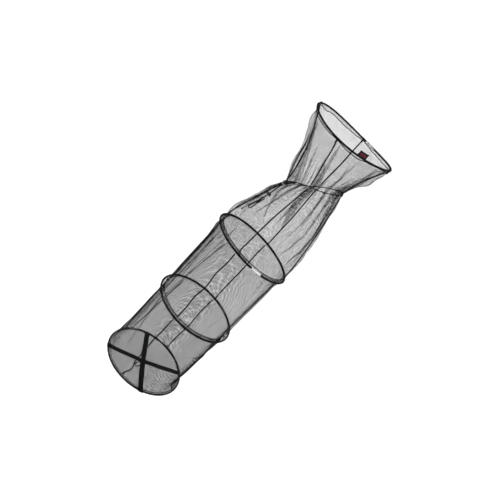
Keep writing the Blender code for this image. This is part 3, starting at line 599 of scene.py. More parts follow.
def seam(level, angle):
    """Where a level's seam lies: how far out from the wire, and how far up."""
    flat = np.zeros_like(np.asarray(angle, float))
    if level == "mouth":
        return flat - MOUTH_SEAM_IN, -round_interp(angle, MOUTH_SEAM_DROPS)
    if level == "neck":
        return flat - CASING_SEAM_IN, flat
    if level == "bottom":
        return flat - BOTTOM_SEAM_IN, flat + BOTTOM_SEAM_RISE
    return flat - SLEEVE_SEAM_IN, flat + SLEEVE_SEAM_RISE


def between(upper, lower, share, flare, angle, top, foot):
    """A place between two rings; top and foot are its (out, lift) at each of them."""
    first = RINGS[upper].arm(angle, *top)
    last = RINGS[lower].arm(angle, *foot)
    share = np.asarray(share, float)
    wide = 1.0 - (1.0 - share) ** flare[0]
    deep = 1.0 - (1.0 - share) ** flare[1]
    centre = RINGS[upper].centre + (RINGS[lower].centre - RINGS[upper].centre) * share[..., None]
    return centre + first + (last - first) * np.stack([wide, deep, wide], -1)


def net_base(bay, share, angle, proud=0.0):
    """The netting's even surface, before its tucks and pleats."""
    upper, lower = BAYS[bay]
    share = np.zeros_like(np.asarray(angle, float)) + share
    ends = []
    for level in (upper, lower):
        out, lift = seam(level, angle)
        ends.append((out - CLOTH_BEHIND_SEAM + proud, lift))
    return between(upper, lower, share, FLARES[bay], angle, *ends)


# Tucks near the neck, as (angle at the hoop, angle at the neck, share of the bay that it reaches
# from the neck, weight). Those on the front are where the photograph shows them.
TUCKS = {
    "mouth": (
        (-150, -173, 1.0, 1.0), (-143, -138, 1.0, 0.85), (-121, -118, 0.6, 0.2),
        (-112, -89, 0.66, 1.1), (-86, -76, 0.4, 0.2), (-72, -55, 0.95, 0.35),
        (-45, -40, 0.5, 0.2), (-17, -27, 1.0, 1.0), (-2, -9, 0.9, 0.5),
        (12, 8, 0.5, 0.3), (27, 23, 0.95, 0.9), (45, 38, 0.5, 0.25), (62, 55, 0.8, 0.4),
        (80, 74, 0.4, 0.2), (101, 92, 0.85, 0.6), (120, 112, 0.5, 0.25), (136, 129, 0.7, 0.4),
        (158, 153, 0.95, 1.0), (176, 168, 0.7, 0.5),
    ),
    "neck": (
        (-172, -154, 0.95, 0.8), (-92, -144, 0.72, 0.6), (-130, -122, 0.75, 0.45),
        (-68, -94, 0.6, 1.3), (-88, -78, 0.35, 0.2),
        (-75, -53, 0.75, 0.45), (-58, -34, 0.85, 0.5), (-36, -24, 0.4, 0.2), (-26, -13, 0.9, 1.1),
        (2, -4, 0.5, 0.4), (19, 24, 0.85, 0.9), (38, 40, 0.45, 0.25), (54, 56, 0.7, 0.4),
        (72, 74, 0.4, 0.2), (90, 93, 0.85, 0.8), (107, 110, 0.5, 0.25), (121, 127, 0.7, 0.4),
        (140, 144, 0.5, 0.3), (154, 160, 0.9, 1.0),
    ),
}

# Creases down the straight bays: angle at the top, angle at the foot, reach from and to, slack
CREASES = {
    "middle": (
        (-45, -35, 0.0, 0.85, 0.006), (-122, -139, 0.08, 1.0, 0.040),
        (-148, -151, 0.15, 1.0, 0.022), (-166, -162, 0.0, 0.8, 0.010),
        (-83, -78, 0.3, 1.0, 0.004), (-8, -14, 0.0, 0.6, 0.006), (38, 31, 0.2, 1.0, 0.006),
        (128, 140, 0.1, 1.0, 0.026), (150, 146, 0.2, 1.0, 0.016), (176, 170, 0.3, 1.0, 0.006),
    ),
    "bottom": (
        (-143, -122, 0.0, 0.75, 0.014), (-160, -150, 0.0, 1.0, 0.016), (-5, -58, 0.0, 0.75, 0.012),
        (-66, -72, 0.4, 1.0, 0.004), (2, -3, 0.3, 1.0, 0.006), (-25, -22, 0.35, 1.0, 0.008),
        (47, 61, 0.0, 0.8, 0.006), (104, 96, 0.2, 1.0, 0.006), (138, 146, 0.0, 1.0, 0.018),
        (163, 158, 0.0, 0.9, 0.012),
    ),
}


def bump(v, middle, half_flat, turn):
    """1 on a stretch of cloth and 0 away from it, with an even slope at each end."""
    off = np.abs((v - middle + 0.5) % 1.0 - 0.5)
    return np.clip((half_flat + turn - off) / turn, 0.0, 1.0)


def tuck_angles(v, tucks, cloth):
    """The way the cloth faces in its tucks, and how much each place belongs to one.

    A tuck is (place round as a share, slack of cloth in metres). The cloth turns back on itself
    and forward again, so that three layers lie on each other.
    """
    facing = np.zeros_like(v)
    inside = np.zeros_like(v)
    tucks = sorted(tucks)
    cloth_left = 1 - sum(slack for _, slack in tucks) / cloth
    before = 0.0
    for k, (place, slack) in enumerate(tucks):
        middle = place * cloth_left + (before + slack / 2) / cloth
        before += slack
        if slack < LEAST_TUCK:
            continue
        turn = min(TUCK_TURN, slack / 2)
        flat = max(0.0, slack / 2 - turn)
        shape = bump(v, middle, flat / 2 / cloth, turn / cloth)
        facing += shape * pi * (1 if k % 2 else -1)
        inside = np.maximum(inside, shape)
    return facing, inside


def pleat_waves(v, neck_distance, seed):
    """Small gathers: fine at the neck, broader away from it, with an uneven rhythm."""
    turn = 2 * pi
    drift = 0.9 * np.sin(turn * (GATHER_DRIFTS[0] * v + seed))
    drift += 0.6 * np.sin(turn * (GATHER_DRIFTS[1] * v + 2.3 * seed))
    fine = np.sin(turn * GATHERS[0] * v + 1.3 * drift)
    middling = np.sin(turn * GATHERS[1] * v + 1.1 * drift + seed)
    broad = np.sin(turn * GATHERS[2] * v + drift + 2 * seed)
    uneven = 0.75 + 0.25 * np.sin(turn * (GATHER_RHYTHM * v + seed))
    near = 1 - ease(neck_distance / GATHERS_NEAR)
    far = ease((neck_distance - GATHERS_FAR[0]) / (GATHERS_FAR[1] - GATHERS_FAR[0]))
    return uneven * (fine * near + middling * (1 - near) * (1 - far) + broad * far)


def row_tucks(bay, share, neck_distance, slack):
    """The tucks and creases that one row of a bay's cloth has, as (place, slack)."""
    tucks = []
    table = TUCKS.get(bay, ())
    weights = [w * (1 - ease((neck_distance - reach + TUCK_FADE) / TUCK_FADE)) if reach < 1 else w
               for _, _, reach, w in table]
    total = max(sum(weights), 0.5 * sum(w for *_, w in table))
    for (far, near, _, _), weight in zip(table, weights):
        angle = near + (far - near) * ease(neck_distance)
        tucks.append((((angle + 180) / 360) % 1.0, TUCK_SHARE * slack * weight / total))
    for top, foot, start, end, size in CREASES.get(bay, ()):
        shown = ease((share - start) / 0.12 + 0.2) * (1 - ease((share - end) / 0.15 + 0.6))
        place = (top + (foot - top) * share + 180) / 360
        tucks.append((place % 1.0, min(size * shown, slack * TUCK_SHARE / 2)))
    total = sum(size for _, size in tucks)
    if total > slack * TUCK_SHARE:
        tucks = [(place, size * slack * TUCK_SHARE / total) for place, size in tucks]
    return tucks


def gather_size(facing, waves, free):
    """How strong the small gathers are, so that the cloth is just as long as it has to be."""
    low, high = 0.0, GATHER_LIMIT
    for _ in range(GATHER_HALVINGS):
        size = (low + high) / 2
        if np.cos(facing + size * waves).mean() > free:
            low = size
        else:
            high = size
    return low


def cloth_row(bay, share):
    """One row of places on the cloth, evenly spaced along its length round."""
    count = 2 * COLUMNS * CLOTH_FINENESS
    v = np.arange(count) / count
    even = net_base(bay, share, np.arange(0, 360, 3.0) - 180.0)
    outline = np.linalg.norm(np.roll(even, -1, 0) - even, axis=1).sum()
    cloth = CLOTH_ROUND[bay]
    free = min(outline / cloth, MOST_FREE)
    neck_distance = {"mouth": 1 - share, "neck": share}.get(bay, 1.0)
    tucks = row_tucks(bay, share, neck_distance, (1 - free) * cloth)
    facing, inside = tuck_angles(v, tucks, cloth)
    waves = pleat_waves(v, neck_distance, GATHER_SEED[bay]) * (1 - inside)
    facing = facing + gather_size(facing, waves, free) * waves
    along = np.cumsum(np.cos(facing))
    along = (along - along[0]) / (along[-1] - along[0] + 1)
    off = np.cumsum(np.sin(facing)) * cloth / count
    off = off - off[0] - (off[-1] - off[0]) * v
    off = off - off.mean()
    if bay in ("middle", "bottom"):
        off = off * np.clip(min(share, 1 - share) / STRAIGHT_BAY_CALM, 0.0, 1.0)
    elif neck_distance > 1 - NECK_BAY_CALM:
        off = off * (1 - neck_distance) / NECK_BAY_CALM
    place = along * 360.0 - 180.0
    surface = net_base(bay, share, place)
    outward = unit(net_base(bay, share, place, 0.001) - surface)
    row = surface + outward * off[:, None]
    return row[::CLOTH_FINENESS]


def net_rows(bay):
    """The cloth of a bay: rows down it, each with two places to a column of diamonds."""
    ends = net_base(bay, np.array([0.0, 0.0, 1.0, 1.0]), np.array([0.0, 180.0, 0.0, 180.0]))
    depth = (np.linalg.norm(ends[2] - ends[0]) + np.linalg.norm(ends[3] - ends[1])) / 2
    count = int(round(depth / ROW_STEP / 2)) * 2
    return np.array([cloth_row(bay, k / count) for k in range(count + 1)])


def put_in_scene(name, data):
    made = bpy.data.objects.new(name, data)
    bpy.context.scene.collection.objects.link(made)
    return made


def new_object(name, verts, faces, uv=None, smooth=True):
    """A mesh object from arrays; faces all have the same number of corners, or are lists."""
    mesh = bpy.data.meshes.new(name)
    if isinstance(faces, np.ndarray):
        corners = faces.shape[1]
        mesh.vertices.add(len(verts))
        mesh.vertices.foreach_set("co", np.asarray(verts, np.float32).ravel())
        mesh.loops.add(faces.size)
        mesh.loops.foreach_set("vertex_index", faces.astype(np.int32).ravel())
        mesh.polygons.add(len(faces))
        mesh.polygons.foreach_set("loop_start", np.arange(len(faces), dtype=np.int32) * corners)
        mesh.update(calc_edges=True)
    else:
        mesh.from_pydata([tuple(v) for v in verts], [], faces)
    if uv is not None:
        layer = mesh.uv_layers.new(name="OFBake")
        index = np.empty(len(mesh.loops), np.int32)
        mesh.loops.foreach_get("vertex_index", index)
        layer.uv.foreach_set("vector", np.asarray(uv, np.float32)[index].ravel())
    if smooth:
        mesh.shade_smooth()
    return put_in_scene(name, mesh)


def dress(piece, slot, finish=None):
    piece.data.materials.append(FINISHES[finish or slot])
    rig.slot(piece, slot)
    return piece


def fit(piece, slot, body, node=None, finish=None):
    """Dresses a piece, lets it ride on a body, and says which node of the model it replaces."""
    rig.ride(dress(piece, slot, finish), body)
    if node:
        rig.replaces(piece, node)
    return piece


def grid_faces(rows, cols, wrap_rows=False, wrap_cols=False):
    """Faces over a grid of vertices, whose last row or column may meet the first."""
    faces = []
    for i in range(rows if wrap_rows else rows - 1):
        below = (i + 1) % rows * cols
        for k in range(cols if wrap_cols else cols - 1):
            m = (k + 1) % cols
            faces.append((i * cols + k, i * cols + m, below + m, below + k))
    return faces


def run_along(points):
    """How far along a route each of its points lies."""
    return np.concatenate([[0], np.cumsum(np.linalg.norm(np.diff(points, axis=0), axis=1))])


def strip_uv(line, cols, uv_length):
    """A strip's map: from 0 to 1 across it, and in lengths of the pattern along it."""
    across, along = np.arange(cols) / (cols - 1), run_along(line) / uv_length
    return np.stack(np.broadcast_arrays(across[None, :], along[:, None]), -1).reshape(-1, 2)


def round_points(turned, radius, height):
    """Points round the Z axis, by their angles, radii and heights."""
    spots = np.broadcast_arrays(radius * np.cos(turned), radius * np.sin(turned), height)
    return np.stack(spots, -1)


def lattice(name, place, radius, clip=None):
    """Thread lattice on a grid of places: two families of threads, crossing at every second one."""
    down = np.gradient(place, axis=0)
    across = np.gradient(place, axis=1)
    normal = unit(np.cross(across, down))
    rows, cols = place.shape[:2]
    radius = np.zeros((rows, cols, 1)) + radius
    j, c = np.mgrid[0:rows, 0:cols]
    on = (j + c) % 2 == 0
    if clip is not None:
        on &= clip
    verts, faces, uvs = [], [], []
    crossings = int(on.sum())
    for family, lean in enumerate((1, -1)):
        run = unit(down + lean * across)
        side = unit(np.cross(run, normal))
        index = np.full((rows, cols), -1)
        index[on] = (family * crossings + np.arange(crossings)) * 3
        centre = place[on] + normal[on] * radius[on] * THREAD_FLATNESS * lean
        for_uv = np.stack([c[on] / (cols - 1), j[on] / (rows - 1)], -1) * 0.998 + 0.001
        ring, ring_uv = [], []
        for k in range(3):
            turned = 2 * pi * k / 3 + pi / 2
            offset = side[on] * cos(turned) + normal[on] * sin(turned) * THREAD_FLATNESS
            ring.append(centre + offset * radius[on])
            wide = vec(0.12 / cols, 0.12 / rows) * cos(turned)
            ring_uv.append(for_uv + wide * vec(1, -lean))
        verts.append(np.stack(ring, 1).reshape(-1, 3))
        uvs.append(np.stack(ring_uv, 1).reshape(-1, 2))
        start = index[:-1, :-1] if lean > 0 else index[:-1, 1:]
        end = index[1:, 1:] if lean > 0 else index[1:, :-1]
        both = (start >= 0) & (end >= 0)
        a, b = start[both], end[both]
        for k in range(3):
            m = (k + 1) % 3
            faces.append(np.stack([a + k, a + m, b + m, b + k], -1))
    return new_object(name, np.concatenate(verts), np.concatenate(faces), np.concatenate(uvs))


def turned_frames(points, closed=False, up=None):
    """Directions along a route, and two across it that turn as little as they can."""
    points = np.asarray(points, float)
    if closed:
        along = unit(np.roll(points, -1, 0) - np.roll(points, 1, 0))
    else:
        along = unit(np.gradient(points, axis=0))
    first = vec(*up) if up is not None else vec(0, 0, 1)
    if abs(along[0] @ first) > 0.9:
        first = vec(1, 0, 0)
    side = unit(np.cross(first, along[0]))
    sides = [side]
    for k in range(1, len(points)):
        side = unit(side - along[k] * (side @ along[k]))
        sides.append(side)
    sides = np.array(sides)
    if closed:
        last = unit(sides[-1] - along[0] * (sides[-1] @ along[0]))
        twist = atan2(np.cross(last, sides[0]) @ along[0], last @ sides[0])
        angle = twist * np.arange(len(points)) / len(points)
        other = np.cross(along, sides)
        sides = sides * np.cos(angle)[:, None] + other * np.sin(angle)[:, None]
    return along, sides, np.cross(along, sides)


def tube(name, points, radius, sides=10, closed=False, uv_length=0.01, section=(1.0, 1.0), up=None):
    """A tube along a route. The radius may change along it; a section gives (wide, high) sides."""
    points = np.asarray(points, float)
    _, side, rise = turned_frames(points, closed, up)
    radius = np.zeros(len(points)) + radius
    wide, high = section
    rows, cols = len(points), sides + 1
    turned = 2 * pi * np.arange(cols) / sides
    ring = (side[:, None] * (np.cos(turned) * wide)[None, :, None]
            + rise[:, None] * (np.sin(turned) * high)[None, :, None])
    verts = (points[:, None] + ring * radius[:, None, None]).reshape(-1, 3)
    faces = grid_faces(rows, cols, wrap_rows=closed)
    if not closed:
        last = (rows - 1) * cols
        faces += [tuple(range(sides - 1, -1, -1)), tuple(range(last, last + sides))]
    made = new_object(name, verts, faces, strip_uv(points, cols, uv_length))
    merge_seam(made)
    return made


def merge_seam(obj):
    """Joins the vertices that lie on each other, and turns the faces outward."""
    bm = bmesh.new()
    bm.from_mesh(obj.data)
    bmesh.ops.remove_doubles(bm, verts=bm.verts, dist=1e-7)
    bmesh.ops.recalc_face_normals(bm, faces=bm.faces)
    bm.to_mesh(obj.data)
    bm.free()


def smooth_route(points, steps):
    """Points along a smooth curve through the given ones."""
    points = np.asarray(points, float)
    padded = np.concatenate([[points[0] * 2 - points[1]], points, [points[-1] * 2 - points[-2]]])
    t = (np.arange(steps) / steps)[:, None]
    found = []
    for a, b, c, d in zip(padded, padded[1:], padded[2:], padded[3:]):
        found.append(0.5 * (2 * b + (c - a) * t + (2 * a - 5 * b + 4 * c - d) * t * t
                            + (3 * b - a - 3 * c + d) * t ** 3))
    return np.concatenate([*found, [points[-1]]])


def shell(name, rows, thickness, uv_length=0.02):
    """A strip of cloth or tape with a thickness, from rows of points across it."""
    rows = np.asarray(rows, float)
    n, m = rows.shape[:2]
    normal = unit(np.cross(np.gradient(rows, axis=0), np.gradient(rows, axis=1)))
    front = rows + normal * thickness / 2
    back = rows - normal * thickness / 2
    size = n * m
    faces = []
    for a, b, c, d in grid_faces(n, m):
        faces += [(a, d, c, b), (a + size, b + size, c + size, d + size)]
    edge = ([i * m for i in range(n)] + [(n - 1) * m + k for k in range(1, m)]
            + [i * m + m - 1 for i in range(n - 2, -1, -1)] + list(range(m - 2, 0, -1)))
    for a, b in zip(edge, edge[1:] + edge[:1]):
        faces.append((a, a + size, b + size, b))
    verts = np.concatenate([front.reshape(-1, 3), back.reshape(-1, 3)])
    uv = strip_uv(rows[:, m // 2], m, uv_length)
    made = new_object(name, verts, faces, np.concatenate([uv, uv]))
    made.data.set_sharp_from_angle(angle=radians(SHARP_ANGLE))
    return made


def frame_at(origin, along, outward):
    """A 4x4 frame with +Z along one direction and +Y as near as it can to another."""
    z = unit(along)
    x = unit(np.cross(outward, z))
    made = np.eye(4)
    made[:3, 0], made[:3, 1], made[:3, 2], made[:3, 3] = x, np.cross(z, x), z, origin
    return made


def placed(at, points):
    return np.asarray(points, float) @ at[:3, :3].T + at[:3, 3]


def stitches(name, starts, ends, radius):
    """Short stitches of sewing thread, each a small six-sided bead from one hole to the next."""
    starts, ends = np.asarray(starts, float), np.asarray(ends, float)
    run = ends - starts
    along = unit(run)
    other = np.where(np.abs(along[:, 2:3]) < 0.9, vec(0, 0, 1), vec(1, 0, 0))
    side = unit(np.cross(along, other))
    rise = np.cross(along, side)
    sides = 6
    bead = ((0.0, 0.35), (0.18, 0.95), (0.5, 1.1), (0.82, 0.95), (1.0, 0.35))
    verts = []
    for share, wide in bead:
        for turned in 2 * pi * np.arange(sides) / sides:
            arm = (side * cos(turned) + rise * sin(turned)) * radius * wide
            verts.append(starts + run * share + arm)
    verts = np.stack(verts, 1)
    faces = np.array(grid_faces(len(bead), sides, wrap_cols=True))
    shift = (np.arange(len(starts)) * verts.shape[1])[:, None, None]
    return new_object(name, verts.reshape(-1, 3), (faces[None] + shift).reshape(-1, 4))


def sewn_line(start, end, count, place, found):
    """Adds evenly spaced stitches from start to end to found, put in place by a function."""
    start, end = np.asarray(start, float), np.asarray(end, float)
    for k in range(count):
        for ends, share in zip(found, STITCH_SPAN):
            ends.append(place(start + (end - start) * (k + share) / count))


# Finishes
def feed(tree, value, socket):
    """Links a socket to another one, or gives it a plain value."""
    if isinstance(value, bpy.types.NodeSocket):
        tree.links.new(value, socket)
    else:
        socket.default_value = value


def add_node(tree, kind, inputs, output=0):
    """A new shader node's output; its inputs are plain values or other nodes' outputs."""
    node = tree.nodes.new("ShaderNode" + kind)
    for name, value in inputs.items():
        feed(tree, value, node.inputs[name])
    return node.outputs[output]


def math_node(tree, operation, *values):
    node = tree.nodes.new("ShaderNodeMath")
    node.operation = operation
    for value, socket in zip(values, node.inputs):
        feed(tree, value, socket)
    return node.outputs[0]


def noise(tree, scale, detail, stretch=(1, 1, 1)):
    """Noise on the object's own metres."""
    place = add_node(tree, "TexCoord", {}, "Object")
    turned = add_node(tree, "Mapping", {"Vector": place, "Scale": stretch})
    return add_node(tree, "TexNoise", {"Vector": turned, "Scale": scale, "Detail": detail}, "Fac")


def tint(tree, shader, fac, low, high):
    """Base colour between two colours by a factor."""
    ramp = tree.nodes.new("ShaderNodeValToRGB")
    ramp.color_ramp.elements[0].position = 0.3
    ramp.color_ramp.elements[0].color = (*low, 1)
    ramp.color_ramp.elements[1].position = 0.7
    ramp.color_ramp.elements[1].color = (*high, 1)
    tree.links.new(fac, ramp.inputs[0])
    tree.links.new(ramp.outputs[0], shader.inputs["Base Color"])


def uv_axes(tree):
    split = add_node(tree, "SeparateXYZ", {0: add_node(tree, "TexCoord", {}, "UV")}).node
    return split.outputs[0], split.outputs[1]


def wave(tree, u, v, across, along):
    """A sine of whole turns across and along the piece's own map."""
    a = math_node(tree, "MULTIPLY", u, 2 * pi * across)
    b = math_node(tree, "MULTIPLY_ADD", v, 2 * pi * along, a)
    return math_node(tree, "SINE", b)


def braid_height(tree, strands, rise):
    """Strands that cross each other on both slants round a cord."""
    u, v = uv_axes(tree)
    one = wave(tree, u, v, strands, rise)
    two = wave(tree, u, v, -strands, rise)
    over = math_node(tree, "MAXIMUM", one, two)
    return math_node(tree, "MULTIPLY_ADD", over, 0.5, 0.5)


def weave_height(tree, across, along):
    """A plain weave: warp and weft pass over each other in turn."""
    u, v = uv_axes(tree)
    warp = wave(tree, u, v, across, 0)
    weft = wave(tree, u, v, 0, along)
    both = math_node(tree, "MULTIPLY", warp, weft)
    return math_node(tree, "MULTIPLY_ADD", both, 0.5, 0.5)


def new_material(name, **values):
    """A material with its shader's plain values, named with _ for a space: (it, tree, shader)."""
    made = bpy.data.materials.new(name)
    made.use_nodes = True
    shader = made.node_tree.nodes["Principled BSDF"]
    for key, value in values.items():
        shader.inputs[key.replace("_", " ")].default_value = value
    return made, made.node_tree, shader


def finish(name, colour, gloss, height=None, metallic=0.0, specular=0.5):
    """A material. A pattern is (kind, numbers): colour is (pattern, dark, light), gloss is one
    roughness or (pattern, low, high), and height is (pattern, depth, strength)."""
    made, tree, shader = new_material(name, Metallic=metallic, Specular_IOR_Level=specular)
    kinds = {"noise": noise, "braid": braid_height, "weave": weave_height}
    drawn = {}

    def draw(pattern):
        if pattern not in drawn:
            drawn[pattern] = kinds[pattern[0]](tree, *pattern[1:])
        return drawn[pattern]

    pattern, dark, light = colour
    shader.inputs["Base Color"].default_value = (*(vec(*dark) + vec(*light)) / 2, 1.0)
    tint(tree, shader, draw(pattern), dark, light)
    if not isinstance(gloss, float):
        pattern, low, high = gloss
        gloss = add_node(tree, "MapRange", {0: draw(pattern), "To Min": low, "To Max": high})
    feed(tree, gloss, shader.inputs["Roughness"])
    if height:
        pattern, depth, strength = height
        raised = {"Strength": strength, "Distance": depth, "Height": draw(pattern)}
        feed(tree, add_node(tree, "Bump", raised), shader.inputs["Normal"])
    return made


def make_finishes():
    """The finishes of the slots, and two more for the bindings and the sewing thread."""
    scuffs = ("noise", 35, 3)
    wire = finish("wire_coating", (scuffs, (0.003, 0.003, 0.003), (0.009, 0.009, 0.010)),
                  (scuffs, 0.32, 0.58), (("noise", 260, 6), 0.0002, 0.35), specular=0.12)

    streaks = ("noise", 900, 3, (1, 1, 0.15))
    ferrule = finish("pressed_aluminium",
                     (("noise", 60, 4), (0.48, 0.49, 0.50), (0.72, 0.72, 0.73)),
                     (streaks, 0.22, 0.42), (streaks, 0.0001, 0.25), metallic=1.0)

    netting = finish("net_thread", (("noise", 9, 3), (0.004, 0.004, 0.005), (0.011, 0.011, 0.012)),
                     0.65, specular=0.1)

    hem = finish("hem_thread", (("noise", 14, 3), (0.003, 0.003, 0.003), (0.008, 0.008, 0.009)),
                 0.7, specular=0.08)

    ribs = ("weave", 3, 5)
    binding = finish("seam_binding", (ribs, (0.002, 0.002, 0.002), (0.009, 0.009, 0.010)),
                     0.8, (ribs, 0.0003, 0.7), specular=0.08)

    strands = ("braid", 4, 2)
    cord = finish("braided_cord", (strands, (0.001, 0.001, 0.001), (0.010, 0.010, 0.011)),
                  (("noise", 80, 3), 0.52, 0.74), (strands, 0.0005, 0.8), specular=0.08)

    ribs = ("weave", 9, 12)
    tape = finish("woven_webbing", (ribs, (0.001, 0.001, 0.001), (0.008, 0.008, 0.009)),
                  (("noise", 120, 3), 0.45, 0.7), (ribs, 0.0004, 0.8), specular=0.05)

    rubbed = ("noise", 150, 4)
    plastic = finish("moulded_plastic", (rubbed, (0.006, 0.006, 0.007), (0.016, 0.016, 0.017)),
                     (rubbed, 0.30, 0.50), (("noise", 2200, 2), 0.0001, 0.3), specular=0.35)

    spring = finish("spring_wire", (("noise", 300, 2), (0.52, 0.52, 0.53), (0.70, 0.70, 0.71)),
                    (("noise", 1500, 2), 0.18, 0.35), metallic=1.0)

    ribs = ("weave", 16, 5)
    backing = finish("label_tape", (ribs, (0.005, 0.002, 0.003), (0.015, 0.008, 0.010)),
                     0.8, (ribs, 0.0002, 0.7), specular=0.2)

    ribs = ("weave", 40, 9)
    patch = finish("label_satin", (ribs, (0.055, 0.004, 0.010), (0.145, 0.014, 0.028)),
                   (("noise", 200, 3), 0.38, 0.6), (ribs, 0.0001, 0.6), specular=0.2)

    thread = finish("sewing_thread",
                    (("noise", 3000, 2), (0.009, 0.009, 0.010), (0.024, 0.024, 0.026)),
                    0.55, specular=0.2)
    return {"wire": wire, "ferrule": ferrule, "netting": netting, "hem_cloth": hem,
            "binding": binding, "cord": cord, "tape": tape, "lock_plastic": plastic,
            "spring_steel": spring, "label_backing": backing, "label_patch": patch,
            "thread": thread}


FINISHES = make_finishes()


# Camera and studio
def add_camera():
    data = bpy.data.cameras.new("photo_camera")
    data.sensor_width = SENSOR
    data.lens = FOCAL_PIXELS / FRAME_PIXELS * SENSOR
    camera = put_in_scene("photo_camera", data)
    right = unit(CAMERA_RIGHT)
    back = unit(np.cross(right, -unit(CAMERA_DOWN)))
    up = np.cross(back, right)
    turn = Matrix([list(row) for row in np.stack([right, up, back], 1)])
    camera.matrix_world = Matrix.Translation(CAMERA_PLACE) @ turn.to_4x4()
    bpy.context.scene.camera = camera


def camera_rays(tree):
    """1 for what the camera sees, straight or reflected, and 0 for the light on the object."""
    path = tree.nodes.new("ShaderNodeLightPath")
    seen = math_node(tree, "MAXIMUM", path.outputs["Is Camera Ray"], path.outputs["Is Glossy Ray"])
    return math_node(tree, "MAXIMUM", seen, path.outputs["Is Transmission Ray"])


def add_world():
    """A white sky, whose light on the object is softer than what the camera sees of it."""
    scene = bpy.context.scene
    scene.view_settings.view_transform = "Standard"
    world = bpy.data.worlds.new("studio")
    scene.world = world
    world.use_nodes = True
    tree = world.node_tree
    background = tree.nodes["Background"]
    background.inputs["Color"].default_value = (1, 1, 1, 1)
    strength = math_node(tree, "MULTIPLY_ADD", camera_rays(tree), 1 - SKY_LIGHT, SKY_LIGHT)
    tree.links.new(strength, background.inputs["Strength"])


def add_floor():
    bpy.ops.mesh.primitive_plane_add(size=FLOOR_SIZE, location=(0, 0, FLOOR_LEVEL))
    floor = bpy.context.object
    floor.name = "floor"
    grey = (FLOOR_GREY, FLOOR_GREY, FLOOR_GREY, 1)
    material, tree, shader = new_material("pale_floor", Base_Color=grey, Roughness=0.9,
                                          Specular_IOR_Level=0.1, Emission_Color=(1, 1, 1, 1))
    glow = math_node(tree, "MULTIPLY", camera_rays(tree), FLOOR_GLOW)
    feed(tree, glow, shader.inputs["Emission Strength"])
    floor.data.materials.append(material)
    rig.stage(floor)


def add_lamps():
    for name, place, size, power in LAMPS:
        data = bpy.data.lights.new(name, "AREA")
        data.size = size
        data.energy = power
        lamp = put_in_scene(name, data)
        aim = Vector(LAMP_AIM) - Vector(place)
        lamp.rotation_mode = "QUATERNION"
        lamp.rotation_quaternion = aim.to_track_quat("-Z", "Y")
        lamp.location = place


def bay_blend(piece, bay):
    """A bay's piece follows its upper ring at the top and its lower ring at the foot."""
    upper, lower = BAYS[bay]
    if bay in NECK_BLENDS:
        neck = RINGS["neck"]
        start, end = [neck.centre + neck.normal * height for height in NECK_BLENDS[bay]]
    else:
        start = RINGS[upper].centre - vec(0, 0, BLEND_BELOW_HOOP)
        end = RINGS[lower].centre + vec(0, 0, BLEND_ABOVE_HOOP)
    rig.blend(piece, upper, lower, start, end)


def hem_outside(level):
    """From a ring's centre line to the outside of the cloth that is folded round it."""
    return HEM_RADIUS[level] + HEM_WRAP_THREAD * THREAD_FLATNESS


def hook(level, swings):
    """A support cord's turn round a ring's cloth, as (out, lift) at angles seen along the wire."""
    step = max(abs(b - a) for a, b in zip(swings, swings[1:]))
    radius = (hem_outside(level) + HOOK_CORD_RADIUS) / cos(radians(step / 2))
    return [(radius * cos(radians(a)), radius * sin(radians(a))) for a in swings]


def add_hoop(level):
    ring = RINGS[level]
    gap = ring.angle_of(WIRE_END_GAP / 2)
    angles = np.linspace(FERRULE_ANGLE[level] + gap, FERRULE_ANGLE[level] + 360 - gap,
                         WIRE_POINTS)
    piece = tube(level + "_hoop_wire", ring.spot(angles), WIRE_RADIUS, 12, uv_length=0.02)
    fit(piece, "wire", level, level + "_hoop")


def add_ferrule(level):
    """A pressed sleeve: rolled ends, and two crimps near each end."""
    ring = RINGS[level]
    half = ring.angle_of(FERRULE_LENGTH / 2)
    inner = WIRE_RADIUS + FERRULE_FIT
    share = np.concatenate([[0.0], np.linspace(0.001, 0.999, FERRULE_POINTS), [1.0]])
    radius = np.full(len(share), inner + FERRULE_WALL)
    for at in CRIMPS:
        radius -= CRIMP_DEPTH * np.exp(-((share - at) / CRIMP_WIDTH) ** 2)
    edge = np.minimum(share, 1 - share)
    radius -= ROLLED_DEPTH * (1 - np.clip(edge / ROLLED_END, 0, 1)) ** 2
    radius[[0, -1]] = inner
    points = ring.spot(FERRULE_ANGLE[level] - half + 2 * half * share)
    piece = tube(level + "_crimped_ferrule", points, radius, 28, uv_length=0.02)
    fit(piece, "ferrule", level, level + "_ferrule")


def hem_section_place(level, angle, share, radius):
    """A place on the cloth folded round the wire: share 0 and 1 are its two edges at the seam."""
    out, lift = seam(level, angle)
    facing = np.arctan2(lift, out)
    leaf = HEM_LEAF_ROWS / (2 * HEM_LEAF_ROWS + HEM_WRAP_ROWS)
    gap = HEM_LEAF_GAP / 2
    turned = facing + pi / 2 + pi * np.clip((share - leaf) / (1 - 2 * leaf), 0, 1)
    on_arc = np.stack([radius * np.cos(turned), radius * np.sin(turned)], -1)
    from_seam = np.minimum(share, 1 - share)
    straight = np.clip(from_seam / leaf, 0, 1)
    side = np.where(share < 0.5, 1.0, -1.0)
    across = np.stack([-np.sin(facing), np.cos(facing)], -1)
    seam_edge = np.stack([out, lift], -1) + across * (side * gap)[..., None]
    start = across * (side * radius)[..., None]
    on_leaf = seam_edge + (start - seam_edge) * straight[..., None]
    return np.where((from_seam < leaf)[..., None], on_leaf, on_arc)


def over_ferrule(level, angle):
    """1 along a ferrule and 0 away from it."""
    away = np.abs((angle - FERRULE_ANGLE[level] + 180) % 360 - 180)
    past = RINGS[level].half_round * away / 180 - FERRULE_LENGTH / 2
    return 1 - ease(past / HEM_FERRULE_EASE)


def ripple(angle, waves, shift=0.0):
    """A wave round a ring, with so many waves all round."""
    return np.sin(np.radians(angle * waves + shift))


